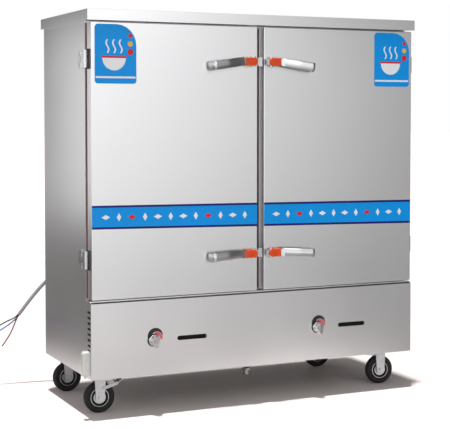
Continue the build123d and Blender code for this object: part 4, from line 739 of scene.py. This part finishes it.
CABLE_DIAMETER = 0.015
CORE_DIAMETER = 0.0056
CABLE_POINTS = (
    (-0.600, 0.324, 0.480),
    (-0.600, 0.366, 0.480),
    (-0.617, 0.408, 0.470),
    (-0.647, 0.436, 0.441),
    (-0.684, 0.446, 0.402),
    (-0.728, 0.4552, 0.3485),
    (-0.7678, 0.462, 0.2945),
)
CORE_POINTS = {
    "core_black": (
        (-0.7707, 0.4625, 0.2963),
        (-0.7775, 0.4638, 0.2870),
        (-0.7930, 0.4650, 0.2785),
        (-0.8200, 0.4670, 0.2680),
        (-0.8450, 0.4700, 0.2550),
        (-0.8680, 0.4740, 0.2410),
    ),
    "core_blue": (
        (-0.7661, 0.4647, 0.2933),
        (-0.7743, 0.4662, 0.2820),
        (-0.7900, 0.4665, 0.2675),
        (-0.8150, 0.4670, 0.2500),
        (-0.8420, 0.4685, 0.2355),
        (-0.8660, 0.4700, 0.2215),
    ),
    "core_brown": (
        (-0.7672, 0.4589, 0.2933),
        (-0.7759, 0.4605, 0.2812),
        (-0.7865, 0.4617, 0.2560),
        (-0.8010, 0.4640, 0.2200),
        (-0.8220, 0.4660, 0.1875),
        (-0.8382, 0.4680, 0.1648),
    ),
}


def cord_curve(node, points, diameter):
    """A smooth round cord along a list of control points."""
    data = bpy.data.curves.new(f"{node}_line", "CURVE")
    data.dimensions = "3D"
    data.bevel_depth = diameter / 2
    data.bevel_resolution = 6
    data.resolution_u = 12
    data.use_fill_caps = True
    spline = data.splines.new("NURBS")
    spline.points.add(len(points) - 1)
    for point, place in zip(spline.points, points):
        point.co = (*place, 1.0)
    spline.order_u = 3
    spline.use_endpoint_u = True
    obj = new_object(f"{node}_cord", data)
    data.materials.append(MATERIALS[SLOT_OF[node]])
    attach(obj, BODY_OF[node])
    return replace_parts(obj, node)


def make_cords():
    cable = cord_curve("power_cable", CABLE_POINTS, CABLE_DIAMETER)
    for node, points in CORE_POINTS.items():
        core = cord_curve(node, points, CORE_DIAMETER)


# Stage: the floor and the world take a level from how far a direction or place lies along an axis

AHEAD = (math.sin(math.radians(CAMERA_YAW)), math.cos(math.radians(CAMERA_YAW)))
SUN_DIRECTION = (0.06, 0.05, -1.0)
SUN_STRENGTH = 4.3
SUN_ANGLE = 2.5
# Each lamp's place, target, size and power
SIDE_CARD = ((-1.88, 2.3, 1.10), (-0.7, -0.2, 1.1), (0.40, 1.15), 3.2)
KEY_LIGHT = ((1.2, -5.6, 3.2), (0, 0, 0.9), (2.0, 1.2), 25)
# World: (distance along the axis, level) at the start and at the end of each change
WORLD_TURN = 26.0
WORLD_FRONT = ((-0.25, 2.35), (0.30, 0.11))
WORLD_REAR = ((-0.2, 1.0), (0.3, 0.33))
WORLD_LOW = ((-0.18, 0.24), (0.0, 1.0))
WORLD_HIGH = ((0.0, 1.0), (0.17, 0.34))
WORLD_BACKDROP = ((0.90, 0.0), (0.955, 1.0))
FLOOR_COLOUR = (0.72, 0.66, 0.635)
FLOOR_CORNERS = ((-40, -2.6), (40, -2.6), (40, 60), (-40, 60))
# Floor: the axis, the distances along it where a change starts and ends, and the level at its start
FLOOR_FRONT_REACH, FLOOR_FRONT = (-0.9, 0.6), (0.55, 0.08)
FLOOR_AHEAD_REACH = (-0.82, -0.67)
FLOOR_LEFT_AXIS, FLOOR_LEFT_REACH, FLOOR_LEFT = (0.9686, -0.2487), (-1.33, -0.98), 0.12
FLOOR_RIGHT_AXIS, FLOOR_RIGHT_REACH, FLOOR_RIGHT = (-0.818, 0.575), (-1.25, -0.92), 0.25


def make_camera():
    data = bpy.data.cameras.new("camera")
    data.sensor_width = SENSOR_WIDTH
    data.lens = FOCAL_PIXELS * SENSOR_WIDTH / IMAGE_WIDTH
    data.shift_x = (IMAGE_WIDTH / 2 - AXIS_PIXEL[0]) / IMAGE_WIDTH
    data.shift_y = (AXIS_PIXEL[1] - IMAGE_HEIGHT / 2) / IMAGE_WIDTH
    camera = new_object("camera", data)
    camera.location = CAMERA_PLACE
    camera.rotation_euler = (math.radians(90 - CAMERA_PITCH), 0, math.radians(-CAMERA_YAW))
    bpy.context.scene.camera = camera


def make_floor():
    """Pale floor, greyer beside and in front of the place where the cabinet stands."""
    def build(work):
        work.faces.new([work.verts.new((x, y, 0)) for x, y in FLOOR_CORNERS])
    graph = Graph("floor", FLOOR_COLOUR, 0.8)

    def along(axis, reach, low, high):
        dot = graph.add("ShaderNodeVectorMath", operation="DOT_PRODUCT")
        dot.inputs[1].default_value = (*axis, 0.0)
        graph.join(graph.place, dot.inputs[0])
        return graph.spread(dot.outputs["Value"], low, high, reach)

    def combine(operation, first, second):
        node = graph.add("ShaderNodeMath", operation=operation)
        graph.join(first, node.inputs[0])
        graph.join(second, node.inputs[1])
        return node.outputs["Value"]

    turn = math.radians(WORLD_TURN)
    front = along((math.cos(turn), math.sin(turn)), FLOOR_FRONT_REACH, *FLOOR_FRONT)
    front = combine("MAXIMUM", front, along(AHEAD, FLOOR_AHEAD_REACH, 0.0, 1.0))
    left = along(FLOOR_LEFT_AXIS, FLOOR_LEFT_REACH, FLOOR_LEFT, 1.0)
    right = along(FLOOR_RIGHT_AXIS, FLOOR_RIGHT_REACH, FLOOR_RIGHT, 1.0)
    level = combine("MINIMUM", combine("MINIMUM", left, right), front)
    graph.colour(level, ((0.0, (0, 0, 0)), (1.0, FLOOR_COLOUR)))
    floor = mesh_object("floor", build, smooth=False)
    floor.data.materials.append(graph.material)


def area_light(name, place, target, size, power):
    """Soft rectangular lamp at one place, turned towards another."""
    data = bpy.data.lights.new(name, "AREA")
    data.shape = "RECTANGLE"
    data.size, data.size_y = size
    data.energy = power
    light = new_object(name, data)
    light.location = place
    light.rotation_euler = (Vector(target) - Vector(place)).to_track_quat("-Z", "Y").to_euler()


def make_sun():
    """Overhead lamp that gives the dark patch under the cabinet."""
    data = bpy.data.lights.new("overhead", "SUN")
    data.energy = SUN_STRENGTH
    data.angle = math.radians(SUN_ANGLE)
    light = new_object("overhead", data)
    light.rotation_euler = Vector(SUN_DIRECTION).to_track_quat("-Z", "Y").to_euler()


def make_world():
    """Studio surroundings: white behind, bright to the left of the front and grey to its right."""
    world = bpy.data.worlds.new("studio")
    world.use_nodes = True
    bpy.context.scene.world = world
    tree = world.node_tree
    tree.nodes.clear()
    direction = tree.nodes.new("ShaderNodeTexCoord").outputs["Generated"]

    def along(axis, stops):
        dot = tree.nodes.new("ShaderNodeVectorMath")
        dot.operation = "DOT_PRODUCT"
        dot.inputs[1].default_value = axis
        tree.links.new(direction, dot.inputs[0])
        (low, low_value), (high, high_value) = stops
        node = tree.nodes.new("ShaderNodeMapRange")
        node.interpolation_type = "SMOOTHSTEP"
        node.inputs["From Min"].default_value = low
        node.inputs["From Max"].default_value = high
        node.inputs["To Min"].default_value = low_value
        node.inputs["To Max"].default_value = high_value
        tree.links.new(dot.outputs["Value"], node.inputs["Value"])
        return node.outputs["Result"]

    def combine(operation, first, second):
        node = tree.nodes.new("ShaderNodeMath")
        node.operation = operation
        tree.links.new(first, node.inputs[0])
        tree.links.new(second, node.inputs[1])
        return node.outputs["Value"]

    turn = math.radians(WORLD_TURN)
    front = along((math.cos(turn), math.sin(turn), 0.0), WORLD_FRONT)
    level = combine("MULTIPLY", front, along((0.0, 1.0, 0.0), WORLD_REAR))
    for reach in (WORLD_LOW, WORLD_HIGH):
        level = combine("MULTIPLY", level, along((0.0, 0.0, 1.0), reach))
    level = combine("MAXIMUM", level, along((*AHEAD, 0.0), WORLD_BACKDROP))
    background = tree.nodes.new("ShaderNodeBackground")
    output = tree.nodes.new("ShaderNodeOutputWorld")
    tree.links.new(level, background.inputs["Strength"])
    tree.links.new(background.outputs["Background"], output.inputs["Surface"])
    background.inputs["Color"].default_value = (1, 1, 1, 1)


def make_stage():
    make_camera()
    make_floor()
    make_world()
    make_sun()
    area_light("side_card", *SIDE_CARD)
    area_light("key", *KEY_LIGHT)
    bpy.context.scene.view_settings.view_transform = "Standard"


def dress_frame_nodes():
    """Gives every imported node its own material."""
    for node, obj in NODES.items():
        obj.data.materials.clear()
        obj.data.materials.append(MATERIALS[SLOT_OF[node]])


dress_frame_nodes()
make_stage()
make_cords()
make_casing()
make_doors()
make_latches()
make_casters()
make_knobs()
make_shades()
make_hinge_shadow_pads()
for door_side in SIDES:
    make_banner(door_side)
    make_sticker(door_side)
    make_dial(door_side)
